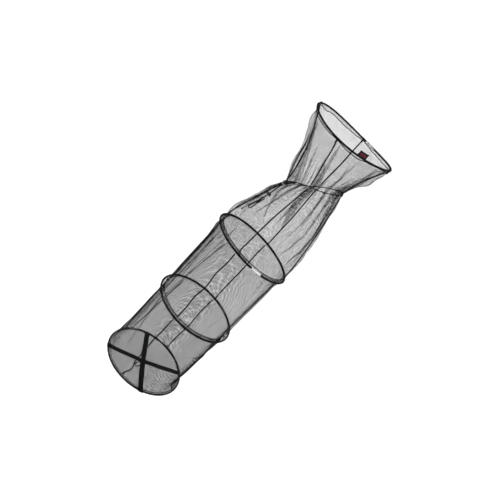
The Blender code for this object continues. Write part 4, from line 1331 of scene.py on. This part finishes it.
def hem_place(level, angle, share):
    """The hem's places, with puckers; over a hidden ferrule it is a little wider."""
    if level == "neck":
        radius = HEM_RADIUS[level] + CASING_PUCKER * ripple(angle, 75) + 0 * share
    else:
        pucker = np.sin(np.radians(angle * 37) + ripple(angle, 24))
        radius = HEM_RADIUS[level] + HEM_PUCKER * (1 + pucker)
        wider = np.maximum(HEM_ON_FERRULE - radius, 0.0)
        radius = radius + wider * over_ferrule(level, angle)
    spot = hem_section_place(level, angle, share, radius)
    wobble = HEM_WOBBLE * ripple(angle, 23, 40) * (share - 0.5) ** 2 * 4
    return RINGS[level].spot(angle, spot[..., 0], spot[..., 1] + wobble)


def add_hem(level, sheets):
    """The netting folded round the wire, with a gap at the bare ferrule or the drawcord's exit."""
    ring = RINGS[level]
    start, half = 0.0, 0.0
    if level == "upper":
        start, half = FERRULE_ANGLE[level], ring.angle_of(FERRULE_LENGTH / 2 + HEM_CUT_GAP)
    elif level == "neck":
        start, half = DRAWCORD_EXIT_ANGLE, ring.angle_of(DRAWCORD_EXIT_GAP)
    columns = int(COLUMNS * (360 - 2 * half) / 360) * 2
    rows = 2 * HEM_LEAF_ROWS + HEM_WRAP_ROWS
    angle = np.linspace(start + half, start + 360 - half, columns + 1) + np.zeros((rows + 1, 1))
    share = np.linspace(0, 1, rows + 1)[:, None] + np.zeros((1, columns + 1))
    wrap = 1.0 * (np.abs(share - 0.5) < HEM_WRAP_ROWS / rows / 2)
    if level == "neck":
        wrap = 0.0 * wrap
    elif level == "mouth":
        wrap = wrap * (1 - over_ferrule(level, angle))
    thread = HEM_THREAD[level] + (HEM_WRAP_THREAD - HEM_THREAD[level]) * wrap
    piece = lattice(SLEEVES[level] + "_cloth", hem_place(level, angle, share), thread[..., None])
    sheets[level].append(fit(piece, "hem_cloth", level, SLEEVES[level]))


def seam_line(level, angles):
    out, lift = seam(level, angles)
    if level == "bottom":
        out, lift = out * BOTTOM_BINDING[0], lift * BOTTOM_BINDING[1]
    wave_out = 0.0007 * ripple(angles, 29) + 0.0005 * ripple(angles, 47)
    return RINGS[level].spot(angles, out - BINDING_IN + wave_out, lift + 0.5 * wave_out)


def add_binding(level, sheets):
    """The black binding on a hem's seam, with its row of stitches."""
    ring = RINGS[level]
    line = seam_line(level, np.linspace(-180, 180, BINDING_STEPS, endpoint=False))
    piece = tube(level + "_seam_binding", line, 1.0, 8, True, 0.006,
                 (BINDING_HALF_THICKNESS, BINDING_HALF_HEIGHT), ring.normal)
    fit(piece, "hem_cloth", level, finish="binding")
    places = np.linspace(-180, 180, BINDING_STITCHES, endpoint=False)
    inner = unit(ring.centre - ring.spot(places)) * (BINDING_HALF_THICKNESS + STITCH_PROUD)
    starts = seam_line(level, places) + inner
    ends = seam_line(level, places + 360 / BINDING_STITCHES * 0.6) + inner
    thread = stitches(level + "_seam_stitches", starts, ends, STITCH_RADIUS["seam"])
    sheets[level] += [piece, fit(thread, "hem_cloth", level, finish="thread")]


def thread_radius(bay):
    """A bay's thread by its place round, with a value for each column of the cloth."""
    angles = np.linspace(-180, 180, 2 * COLUMNS + 1)
    share = round_interp(angles, THREAD_SHARE.get(bay, ((0, 1.0), (180, 1.0))))
    return (THREAD_RADIUS[bay] * share)[None, :, None]


def add_netting(bay, sheets):
    """A bay's netting, as a front and a back half that meet thread to thread."""
    upper, lower = BAYS[bay]
    rows = net_rows(bay)
    rows = np.concatenate([rows, rows[:, :1]], 1)
    depth = ROW_STEP * (len(rows) - 1)
    for side, first in (("front", 0), ("back", COLUMNS)):
        columns = slice(first, first + COLUMNS + 1)
        piece = lattice(f"{bay}_netting_{side}", rows[:, columns], thread_radius(bay)[:, columns])
        dress(piece, "netting")
        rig.replaces(piece, bay + "_netting")
        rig.sheet(piece, flat=(CLOTH_ROUND[bay] / 2, depth),
                 with_pieces=sheets[upper] if side == "front" else [],
                 held="gathered" if bay in ("mouth", "neck") else "hung",
                 rests_on=[SLEEVES[upper], SLEEVES[lower]])
        bay_blend(piece, bay)


def tape_radius():
    inside = hem_outside("bottom") + SEAT_GAP
    return inside / cos(radians(TAPE_FOLD_STEP / 2)) + TAPE_THICKNESS / 2


def add_panel(sheets):
    """The net's foot: a round of netting that sags onto the crossed tapes."""
    ring = RINGS["bottom"]
    reach = HOOP_RADIUS - PANEL_INSIDE
    rim = -tape_radius() + TAPE_THICKNESS / 2 + SEAT_GAP
    low = rim - TAPE_SAG + PANEL_ON_TAPE
    steps = (CLOTH_ROUND["bottom"] / COLUMNS / 2 * PANEL_FINENESS, ROW_STEP * PANEL_FINENESS)
    x, y = [np.arange(-int(reach / step) - 1, int(reach / step) + 2) * step for step in steps]
    gx, gy = np.meshgrid(x, y)
    turn = radians(PANEL_TURN)
    px, py = gx * cos(turn) - gy * sin(turn), gx * sin(turn) + gy * cos(turn)
    far = np.hypot(px, py) / reach
    held = np.clip(far, 0, 1)
    ripples = PANEL_RIPPLE * np.sin(px * 70 + 1) * np.sin(py * 55) * (1 - held)
    local = np.stack([px, py, low + (rim - low) * held ** 2 + ripples], -1)
    piece = lattice("bottom_panel_netting", ring.centre + local @ ring.turn.T, PANEL_THREAD,
                    far < 1.0)
    fit(piece, "netting", "bottom", "bottom_netting_panel")
    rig.sheet(piece, flat=(2 * reach, 2 * reach), area=pi * reach ** 2, held="stretched",
             rests_on=["bottom_hem", "upper_tape"], with_pieces=sheets["bottom"])


# Knots and cords
def barrel_knot(name, at, radius, turns, tail=0.0, tail_lean=0.0):
    """A knot of close turns round a cord that runs along the frame's +Z, with a tail if asked."""
    t = np.arange(int(turns * KNOT_STEPS) + 1) / KNOT_STEPS
    height = (t - turns / 2) * radius * KNOT_PITCH
    swell = KNOT_COIL * radius * (1 - KNOT_TAPER * np.abs(height) / (turns * radius))
    coil = round_points(2 * pi * t, swell, height)
    aside, beyond = KNOT_ENTRY[0] * radius, KNOT_ENTRY[1] * radius
    last = [vec(-aside, 0, height[-1] + beyond)]
    if tail:
        way = unit(vec(cos(tail_lean), sin(tail_lean), -0.9))
        last = [coil[-1] + way * tail * share - vec(0, 0, 0.25 * tail * share ** 2)
                for share in (0.25, 0.55, 1.0)]
    route = smooth_route([vec(aside, 0, height[0] - beyond), *coil, *last], 2)
    return dress(tube(name, placed(at, route), radius, 8, uv_length=radius * 5), "cord")


def cord_route(side, bay):
    """A support cord in one bay: from one ring, down along the netting, and round the next."""
    upper, lower = BAYS[bay]
    shift = TIE_SIDE[side] * TIE_SHIFT / 2
    first = CORD_ANGLE[side] - RINGS[upper].angle_of(shift)
    last = CORD_ANGLE[side] + RINGS[lower].angle_of(shift)
    foot_hook = hook(lower, FOOT_HOOK)
    points = []
    top = (0.0, -hem_outside(upper) - BRAID_RADIUS)
    if upper == "neck":
        top = (NECK_CORD_OUT, top[1] - CORD_RADIUS)
    if upper == "mouth":
        over = hook(upper, MOUTH_HOOK)
        points += [RINGS[upper].spot(first, *place) for place in over[:-1]]
        top = over[-1]
    for share in np.arange(CORD_STEPS + 1) / CORD_STEPS:
        angle = first + (last - first) * share
        spot = between(upper, lower, share, FLARES[bay], angle, top, foot_hook[0])
        points.append(spot + cord_wander(side, bay, share))
    points += [RINGS[lower].spot(last, *place) for place in foot_hook[1:]]
    return np.array(points)


# How a cord strays between its knots: side and bay, then out, along, waves, bend near the foot
CORD_SLACK = {
    ("front", "middle"): (0.002, 0.0042, 2.5, 0.0),
    ("front", "bottom"): (0.001, 0.0022, 2.0, 0.016),
    ("back", "bottom"): (0.001, 0.0030, 1.5, 0.0),
    ("right", "neck"): (-0.004, 0.002, 1.0, 0.0),
    ("left", "neck"): (-0.019, 0.002, 1.0, 0.0),
    ("right", "mouth"): (-0.011, 0.001, 1.0, 0.0),
    ("left", "mouth"): (-0.022, 0.001, 1.0, 0.0),
}


def cord_wander(side, bay, share):
    """Off the straight way: onto the netting between two hoops, and a little slack."""
    out, along, waves, bend = CORD_SLACK.get((side, bay), (0.0, 0.0010, 1.5, 0.0))
    facing = radians(CORD_ANGLE[side])
    outward = vec(cos(facing), sin(facing), 0)
    sideways = vec(-sin(facing), cos(facing), 0)
    held = sin(pi * share)
    onto = 0.0
    if bay in ("middle", "bottom"):
        onto = CORD_ON_NET[side] * ease(min(share, 1 - share) / CORD_ONTO_NET)
    aside = along * sin(2 * pi * waves * share) * held
    bent = exp(-((share - CORD_BEND_AT) / CORD_BEND_REACH) ** 2)
    aside += bend * bent * ease((1 - share) / CORD_BEND_END)
    return outward * (out * held + onto) + sideways * aside


def add_cords():
    start, end = HOOK_REACH
    for bay, levels in BAYS.items():
        for side, angle in CORD_ANGLE.items():
            route = smooth_route(cord_route(side, bay), 3)
            spots = [RINGS[level].spot(angle) for level in levels]
            near = np.min([np.linalg.norm(route - spot, axis=1) for spot in spots], axis=0)
            tight = 1 - ease((near - start) / (end - start))
            radius = BRAID_RADIUS + (HOOK_CORD_RADIUS - BRAID_RADIUS) * tight
            piece = tube(f"{side}_{bay}_bay_cord", route, radius, 10, uv_length=0.009)
            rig.replaces(dress(piece, "cord"), f"{side}_cord_{bay}_bay")
            bay_blend(piece, bay)


def add_tie_knots():
    """The knots by which the support cords hang on each ring; those in front have a tail."""
    for level, tail in TIE_TAILS.items():
        ring = RINGS[level]
        above = level in ("upper", "middle", "bottom")
        reach = hem_outside(level) + 2 * CORD_RADIUS + TIE_CLEAR
        lift = {"mouth": -reach, "neck": 0.0}.get(level, reach)
        out = {"mouth": 0.0, "neck": hem_outside(level) + CORD_RADIUS}.get(level, -TIE_INSIDE)
        radius = CORD_RADIUS * (0.85 if level == "mouth" else 0.7)
        for k, (side, angle) in enumerate(CORD_ANGLE.items()):
            if level == "neck" and side in ("front", "back"):
                continue
            shift = TIE_SIDE[side] * ring.angle_of(TIE_SHIFT / 2)
            at_angle = angle - shift if level == "mouth" else angle + shift
            outward = unit(ring.spot(at_angle, 0.01) - ring.spot(at_angle))
            at = frame_at(ring.spot(at_angle, out, lift), ring.normal * (-1 if k % 2 else 1),
                          outward)
            piece = barrel_knot(f"{side}_{level}_knot", at, radius, 2.5 if above else 3.0,
                                tail if side == "front" else 0.0, radians(TIE_TAIL_LEAN))
            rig.ride(piece, level)


# Tapes and loop
def tape_line(start, end, drop):
    """A tape's rows: folded round the wire at each end and sagging between."""
    ring = RINGS["bottom"]
    half = ring.angle_of(TAPE_WIDTH / 2)
    radius = tape_radius() + drop
    fold = np.radians(np.linspace(*TAPE_FOLD))
    across = np.linspace(-1, 1, TAPE_COLUMNS)

    def folded(angle, order, side):
        return [ring.spot(angle + side * across * half, radius * cos(a) + 0 * across,
                          radius * sin(a)) for a in order]

    first = folded(start, fold, 1)
    last = folded(end, fold[::-1], -1)
    span = []
    for share in np.linspace(0, 1, TAPE_ROWS)[1:-1]:
        sag = (TAPE_SAG + drop) * 4 * share * (1 - share) + TAPE_WAVE * sin(share * 23 + start)
        curl = TAPE_CURL * sin(share * 9 + start) * across ** 2
        row = first[-1] + (last[0] - first[-1]) * share
        span.append(row - ring.normal * (sag + curl)[:, None])
    return np.array(first + span + last), len(first)


def add_tapes():
    drops = {"upper_tape": 0.0, "lower_tape": TAPE_THICKNESS + SEAT_GAP}
    off = -RINGS["bottom"].normal * (TAPE_THICKNESS / 2 + STITCH_PROUD)
    for name, (start, end) in TAPE_ANGLES.items():
        rows, folds = tape_line(start, end, drops[name])
        fit(shell(name + "_webbing", rows, TAPE_THICKNESS), "tape", "bottom", name)
        sewn = [folds + 1 + k for k in range(TAPE_STITCH_ROWS)]
        sewn += [len(rows) - 1 - at for at in sewn]
        starts = [rows[at][:-1] * 0.8 + rows[at][1:] * 0.2 + off for at in sewn]
        ends = [rows[at][:-1] * 0.2 + rows[at][1:] * 0.8 + off for at in sewn]
        thread = stitches(name + "_end_stitches", np.concatenate(starts), np.concatenate(ends),
                          STITCH_RADIUS["tape"])
        fit(thread, "tape", "bottom", finish="thread")


def tape_crossing():
    ends = [[Vector(RINGS["bottom"].outline(angle)[0][:2]) for angle in pair]
            for pair in TAPE_ANGLES.values()]
    return np.array(geometry.intersect_line_line_2d(*ends[0], *ends[1]))


def add_crossing_patch():
    """A square of webbing sewn over the crossing from below, with a crossed box of stitches."""
    ring = RINGS["bottom"]
    lift = -tape_radius() - TAPE_SAG - 2 * TAPE_THICKNESS - 2.5 * SEAT_GAP
    centre = vec(*tape_crossing(), lift)
    turn = np.array(Matrix.Rotation(radians(CROSSING_TURN), 3, "Z"))
    side = TAPE_WIDTH * CROSSING_SHARE
    thickness = TAPE_THICKNESS * 0.8

    def place(flat):
        return ring.centre + (flat @ turn.T + centre) @ ring.turn.T

    gx, gy = np.meshgrid(np.linspace(-1, 1, 9), np.linspace(-1, 1, 9))
    curl = CROSSING_CURL * np.maximum(np.abs(gx), np.abs(gy)) ** 4
    rows = place(np.stack([gx * side, gy * side, curl], -1))
    fit(shell("crossing_patch", rows, thickness), "tape", "bottom")
    box = side * CROSSING_BOX
    a, b, c, d = [vec(x, y, -thickness / 2 - 2 * STITCH_PROUD)
                  for x, y in ((-box, -box), (box, -box), (box, box), (-box, box))]
    found = [], []
    for start, end in ((a, b), (b, c), (c, d), (d, a), (a, c), (b, d)):
        sewn_line(start, end, int(np.linalg.norm(end - start) / CROSSING_STITCH), place, found)
    thread = stitches("crossing_stitches", *found, STITCH_RADIUS["crossing"])
    fit(thread, "tape", "bottom", finish="thread")


def add_bottom_loop():
    ring = RINGS["bottom"]
    lift = -tape_radius() - TAPE_SAG - 1.5 * TAPE_THICKNESS - 2 * SEAT_GAP
    half = LOOP_WIDTH / 2
    start = ring.centre + ring.turn @ vec(*tape_crossing(), lift)
    turned = np.array(Matrix.Rotation(radians(LOOP_TURN), 3, "Z")
                      @ Matrix.Rotation(radians(-LOOP_SWING), 3, "X"))
    points = [vec(-half, 0, 0), vec(-half, 0, -LOOP_STUB)]
    reach = LOOP_LENGTH - half
    for swing in pi * np.arange(LOOP_POINTS) / (LOOP_POINTS - 1):
        local = vec(-half * cos(swing), 0, LOOP_STUB - reach - half * sin(swing))
        points.append(vec(0, 0, -LOOP_STUB) + turned @ local)
    points += [vec(half, 0, -LOOP_STUB), vec(half, 0, 0)]
    route = smooth_route(start + np.array(points), 4)
    piece = tube("sewn_loop", route, LOOP_CORD_RADIUS, 10, uv_length=0.007)
    fit(piece, "cord", "bottom", "bottom_loop")


# Drawcord and its fittings
def surface_frame(at, clear):
    """A point clear of the neck bay's even surface, and the outward direction there."""
    share, angle = at
    place = net_base("neck", share, np.array(angle))
    along = net_base("neck", share + NEAR_SHARE, np.array(angle)) - place
    across = net_base("neck", share, np.array(angle + NEAR_ANGLE)) - place
    outward = unit(np.cross(across, along))
    if outward @ (place - vec(NECK_SHIFT, 0, place[2])) < 0:
        outward = -outward
    return place + outward * clear, outward


def cad_centre(node):
    low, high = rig.box(node)
    return (np.array(low) + np.array(high)) / 2


def legs_frame():
    """The frame of the drawcord's straight legs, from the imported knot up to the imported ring."""
    knot = cad_centre("drawcord_knot")
    ring = cad_centre("drawcord_ring")
    _, outward = surface_frame(KNOT_AT, LEG_CLEAR)
    return frame_at(knot, ring - knot, outward), np.linalg.norm(ring - knot) + RING_BELOW_TOP


def add_drawcord():
    ring = RINGS["neck"]
    at, length = legs_frame()
    near = ring.angle_of(DRAWCORD_EXIT_GAP)
    heights = (KNOT_RADIUS * 0.5, length * 0.5, length, length + LEG_OVER_RING)
    legs = []
    for side in (1, -1):
        start, waist, *top = [placed(at, vec(0, side * LEG_SPACING / 2, z)) for z in heights]
        top += [ring.spot(DRAWCORD_EXIT_ANGLE + side * near * share)
                for share in (EXIT_BEND_SHARE, EXIT_ENTRY_SHARE)]
        legs.append([start, waist, *smooth_route(top, 5)])
    inside = near * EXIT_ENTRY_SHARE
    angles = np.linspace(DRAWCORD_EXIT_ANGLE + inside, DRAWCORD_EXIT_ANGLE + 360 - inside, 120)
    points = np.concatenate([legs[0], ring.spot(angles[1:-1]), legs[1][::-1]])
    piece = tube("neck_draw_line", points, DRAWCORD_RADIUS, 10, uv_length=0.007)
    fit(piece, "cord", "neck", "neck_drawcord")


def add_drawcord_ring():
    at, length = legs_frame()
    turned = np.arange(40) * 2 * pi / 40
    points = placed(at, round_points(turned, RING_RADIUS, length - RING_BELOW_TOP))
    piece = tube("draw_ring", points, RING_THICKNESS, 14, True, 0.01)
    fit(piece, "ferrule", "neck", "drawcord_ring")


def hank_frame():
    knot = cad_centre("drawcord_knot")
    foot, _ = surface_frame(HANK_FOOT_AT, LEG_CLEAR)
    _, outward = surface_frame(KNOT_AT, LEG_CLEAR)
    return frame_at(knot, foot - knot, outward)


def hank_half_width(height):
    middle = HANK_START + HANK_LENGTH * HANK_WAIST_AT
    drawn = exp(-((height - middle) / HANK_WAIST_REACH) ** 2)
    return (HANK_WIDTH - (HANK_WIDTH - HANK_WAIST) * drawn) / 2


def hank_points():
    """The hank's cord, as in the part's source: to and fro in loops that lie on each other."""
    layers = HANK_LOOPS * HANK_STEP
    half = HANK_WIDTH / 2
    top, foot = HANK_START + half, HANK_START + HANK_LENGTH - half
    points = [vec(0, -layers / 2, KNOT_RADIUS + SEAT_GAP)]

    def put(x, level, z):
        points.append(vec(x + half, level * HANK_STEP - layers / 2, z))

    def run(level, side, climb):
        for share in np.arange(HANK_RUN_POINTS) / (HANK_RUN_POINTS - 1):
            height = top + (foot - top) * (share if side < 0 else 1 - share)
            put(side * hank_half_width(height), level + climb * share, height)

    def turn(level, end, way):
        for swing in pi * np.arange(1, HANK_TURN_POINTS + 1) / (HANK_TURN_POINTS + 1):
            put(-way * half * cos(swing), level, end + way * half * sin(swing))

    for loop in range(HANK_LOOPS):
        run(loop, -1, 0.0)
        turn(loop, foot, 1)
        run(loop, 1, 1.0)
        turn(loop + 1, top, -1)
    run(HANK_LOOPS, -1, 0.0)
    put(-half, HANK_LOOPS, foot + half + HANK_TAIL)
    return np.array(points)


def add_hank_tie(at):
    """Turns of thread round the hank's waist, drawn flat against its strands."""
    middle = HANK_START + HANK_LENGTH * HANK_WAIST_AT
    around = DRAWCORD_RADIUS + TIE_THREAD_CLEAR
    wide = hank_half_width(middle) + around
    deep = HANK_LOOPS * HANK_STEP / 2 + around
    t = np.arange(TIE_BAND_TURNS * 20 + 1) / 20
    spiral = np.stack([
        np.clip(1.3 * np.cos(2 * pi * t), -1, 1) * wide + HANK_WIDTH / 2,
        np.clip(1.3 * np.sin(2 * pi * t), -1, 1) * deep,
        middle + (t / TIE_BAND_TURNS - 0.5) * (TIE_BAND_HEIGHT - 2 * TIE_THREAD),
    ], -1)
    tie = tube("hank_whipping", placed(at, spiral), TIE_THREAD, 8, uv_length=0.004)
    return fit(tie, "cord", "neck", "hank_tie")


def add_hank():
    at = hank_frame()
    path = placed(at, hank_points())
    route = smooth_route(path, 3)
    hank = tube("draw_line_hank", route, DRAWCORD_RADIUS, 10, uv_length=0.007)
    fit(hank, "cord", "neck", "drawcord_hank")
    tie = add_hank_tie(at)
    end = placed(at, hank_points()[-1] + vec(0, 0, END_KNOT_RADIUS + SEAT_GAP))
    knot_at = frame_at(end, at[:3, 2], at[:3, 1])
    knot = barrel_knot("draw_line_end_knot", knot_at, DRAWCORD_RADIUS * 0.85, 2.0)
    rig.ride(knot, "neck")
    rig.replaces(knot, "drawcord_end_knot")
    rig.cord(hank, exit=path[0], length=run_along(path)[-1], diameter=2 * DRAWCORD_RADIUS,
            far_end="knot", stiffness="limp", lay="hanging", path=route, with_pieces=[tie, knot])
    top_knot = barrel_knot("draw_line_knot", legs_frame()[0], DRAWCORD_RADIUS * 0.95, 2.5)
    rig.ride(top_knot, "neck")
    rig.replaces(top_knot, "drawcord_knot")


def turned(name, profile, at, sides=48):
    """A turned solid from a closed profile of (radius, height)."""
    radius, height = np.array(profile).T[..., None]
    verts = round_points(2 * pi * np.arange(sides) / sides, radius, height).reshape(-1, 3)
    made = new_object(name, placed(at, verts), grid_faces(len(profile), sides, wrap_cols=True))
    merge_seam(made)
    return made


def rounded(profile, radius, steps=4):
    """A profile with its corners rounded, apart from those on the axis."""
    found = []
    for k, (r, h) in enumerate(profile):
        if k in (0, len(profile) - 1) or r < 1e-6:
            found.append((r, h))
            continue
        here = vec(r, h)
        before, after = vec(*profile[k - 1]), vec(*profile[k + 1])
        reach = min(radius, np.linalg.norm(before - here) / 2.1, np.linalg.norm(after - here) / 2.1)
        a = here + unit(before - here) * reach
        b = here + unit(after - here) * reach
        for s in range(steps + 1):
            t = s / steps
            found.append(tuple((1 - t) ** 2 * a + 2 * t * (1 - t) * here + t * t * b))
    return found


def cut_slot(piece, at, low, high):
    wide = 2 * (DRAWCORD_RADIUS + LOCK_SLOT_FIT) + LEG_SPACING
    corners = [(x, y, z) for z in (low, high) for y in (-2 * LOCK_RADIUS, 2 * LOCK_RADIUS)
               for x in (-wide / 2, wide / 2)]
    faces = [(0, 2, 3, 1), (4, 5, 7, 6), (0, 1, 5, 4), (2, 6, 7, 3), (0, 4, 6, 2), (1, 3, 7, 5)]
    cutter = new_object(piece.name + "_cut", placed(at, corners), faces, smooth=False)
    cut = piece.modifiers.new("slot", "BOOLEAN")
    cut.operation = "DIFFERENCE"
    cut.solver = "EXACT"
    cut.object = cutter
    edge = piece.modifiers.new("edge", "BEVEL")
    edge.width = SLOT_EDGE
    edge.segments = 2
    edge.limit_method = "ANGLE"
    edge.angle_limit = radians(SHARP_ANGLE)
    graph = bpy.context.evaluated_depsgraph_get()
    mesh = bpy.data.meshes.new_from_object(piece.evaluated_get(graph))
    piece.modifiers.clear()
    piece.data = mesh
    mesh.shade_smooth()
    mesh.set_sharp_from_angle(angle=radians(40))
    bpy.data.objects.remove(cutter)


def add_lock_cup(at, inner, half_slot):
    """The lock's cup: two grips round it, and a slot through which the drawcord's legs pass."""
    cup = [(0, 0), (LOCK_RADIUS, 0)]
    for foot, depth in LOCK_GRIPS:
        cup += [(LOCK_RADIUS, foot), (LOCK_RADIUS - depth, foot + 0.0006),
                (LOCK_RADIUS - depth, foot + 0.0014), (LOCK_RADIUS, foot + 0.0020)]
    cup += [(LOCK_RADIUS, LOCK_LENGTH), (inner, LOCK_LENGTH), (inner, LOCK_FLOOR), (0, LOCK_FLOOR)]
    body = turned("lock_cup", rounded(cup, LOCK_ROUNDING), at)
    cut_slot(body, at, LOCK_SLOT_CENTRE - half_slot, LOCK_SLOT_CENTRE + half_slot)
    fit(body, "lock_plastic", "cord_lock", "cord_lock_body")


def add_lock_button(at, radius, foot, half_slot):
    """The plunger that is pushed in: dished at its head, with a longer slot."""
    head = LOCK_LENGTH + BUTTON_PROUD
    plug = [(0, foot), (radius, foot), (radius, head), (radius - 0.0012, head),
            (radius - 0.0018, head - 0.0006), (0, head - 0.0006)]
    button = turned("lock_plunger", rounded(plug, BUTTON_ROUNDING), at)
    cut_slot(button, at, LOCK_SLOT_CENTRE - half_slot,
             LOCK_SLOT_CENTRE + half_slot + BUTTON_TRAVEL)
    fit(button, "lock_plastic", "lock_button", "cord_lock_button")


def add_lock_spring(at, radius, foot):
    low = LOCK_FLOOR + SPRING_WIRE + SEAT_GAP
    high = foot - SPRING_WIRE - SEAT_GAP
    t = np.linspace(0, 1, SPRING_TURNS * 24 + 1)
    coil = round_points(2 * pi * SPRING_TURNS * t, radius * SPRING_WIDTH_SHARE,
                        low + (high - low) * t)
    spring = tube("lock_coil", placed(at, coil), SPRING_WIRE, 8, uv_length=0.002)
    fit(spring, "spring_steel", "cord_lock", "cord_lock_spring")
    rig.squash(spring, "button_press", at[:3, 2], placed(at, vec(0, 0, LOCK_FLOOR)),
              keep=SPRING_KEPT)


def add_cord_lock():
    legs, _ = legs_frame()
    across, along = legs[:3, 0], legs[:3, 2]
    centre = placed(legs, vec(0, 0, KNOT_RADIUS + LOCK_ABOVE_KNOT))
    at = frame_at(centre - across * LOCK_SLOT_CENTRE, across, along)
    half_slot = DRAWCORD_RADIUS + LOCK_SLOT_FIT
    inner = LOCK_RADIUS - LOCK_WALL
    radius = inner - LOCK_FIT
    foot = LOCK_SLOT_CENTRE - half_slot - LOCK_WALL
    add_lock_cup(at, inner, half_slot)
    add_lock_button(at, radius, foot, half_slot)
    add_lock_spring(at, radius, foot)


# Label
def label_place(angle, lift, proud=0.0):
    """A place on the label, which curls a little towards its top."""
    ring = RINGS["mouth"]
    start, end = LABEL_ANGLES
    out = hem_outside("mouth") + SEAT_GAP + LABEL_THICKNESS / 2
    share = (angle - start) / (end - start)
    rise = np.clip(lift / LABEL_HEIGHT, 0, 1)
    curl = LABEL_CURL * rise ** 2 * np.sin(pi * share * 1.3 + 0.4)
    return ring.spot(angle, out + proud + curl, lift)


def add_label():
    """A folded flag of woven tape with a bare satin patch, both sewn round their edges."""
    to_angle = RINGS["mouth"].angle_of
    start, end = LABEL_ANGLES
    angles = np.linspace(start, end, 21)
    rows = [label_place(angles, lift) for lift in np.linspace(LABEL_FOOT, LABEL_HEIGHT, 15)]
    backing = shell("label_flag", rows, LABEL_THICKNESS, 0.01)
    fit(backing, "label_backing", "mouth", "label_backing")
    inset = to_angle(PATCH_MARGIN)
    inner = np.linspace(start + inset, end - inset, 17)
    rows = [label_place(inner, lift, LABEL_PROUD)
            for lift in np.linspace(LABEL_FOOT + PATCH_MARGIN, LABEL_HEIGHT - PATCH_MARGIN, 11)]
    patch = shell("label_satin_patch", rows, PATCH_THICKNESS, 0.008)
    fit(patch, "label_patch", "mouth", "label_patch")
    found = [], []
    for margin, off, step in LABEL_SEAMS:
        left, right = start + to_angle(margin), end - to_angle(margin)
        low, high = LABEL_FOOT + margin, LABEL_HEIGHT - margin
        corners = [(left, low), (right, low), (right, high), (left, high), (left, low)]
        for a, b in zip(corners, corners[1:]):
            length = max(abs(b[0] - a[0]) / to_angle(1.0), abs(b[1] - a[1]))
            sewn_line(a, b, max(1, int(length / step)),
                      lambda spot: label_place(*spot, off + STITCH_PROUD), found)
    thread = stitches("label_stitches", *found, STITCH_RADIUS["label"])
    fit(thread, "label_backing", "mouth", finish="thread")


add_camera()
add_drawcord()
add_drawcord_ring()
add_hank()
add_cord_lock()
add_cords()
add_tie_knots()
SHEETS = {level: [] for level in RINGS}
for level in RINGS:
    if level != "neck":
        add_hoop(level)
        add_ferrule(level)
        add_binding(level, SHEETS)
    add_hem(level, SHEETS)
for bay in BAYS:
    add_netting(bay, SHEETS)
add_panel(SHEETS)
add_tapes()
add_crossing_patch()
add_bottom_loop()
add_label()
add_world()
add_floor()
add_lamps()
with open("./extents.json", "w") as out:
    json.dump({"cad": [list(v) for v in CAD_BOX], "visual": [list(v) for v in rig.bounds()]}, out)
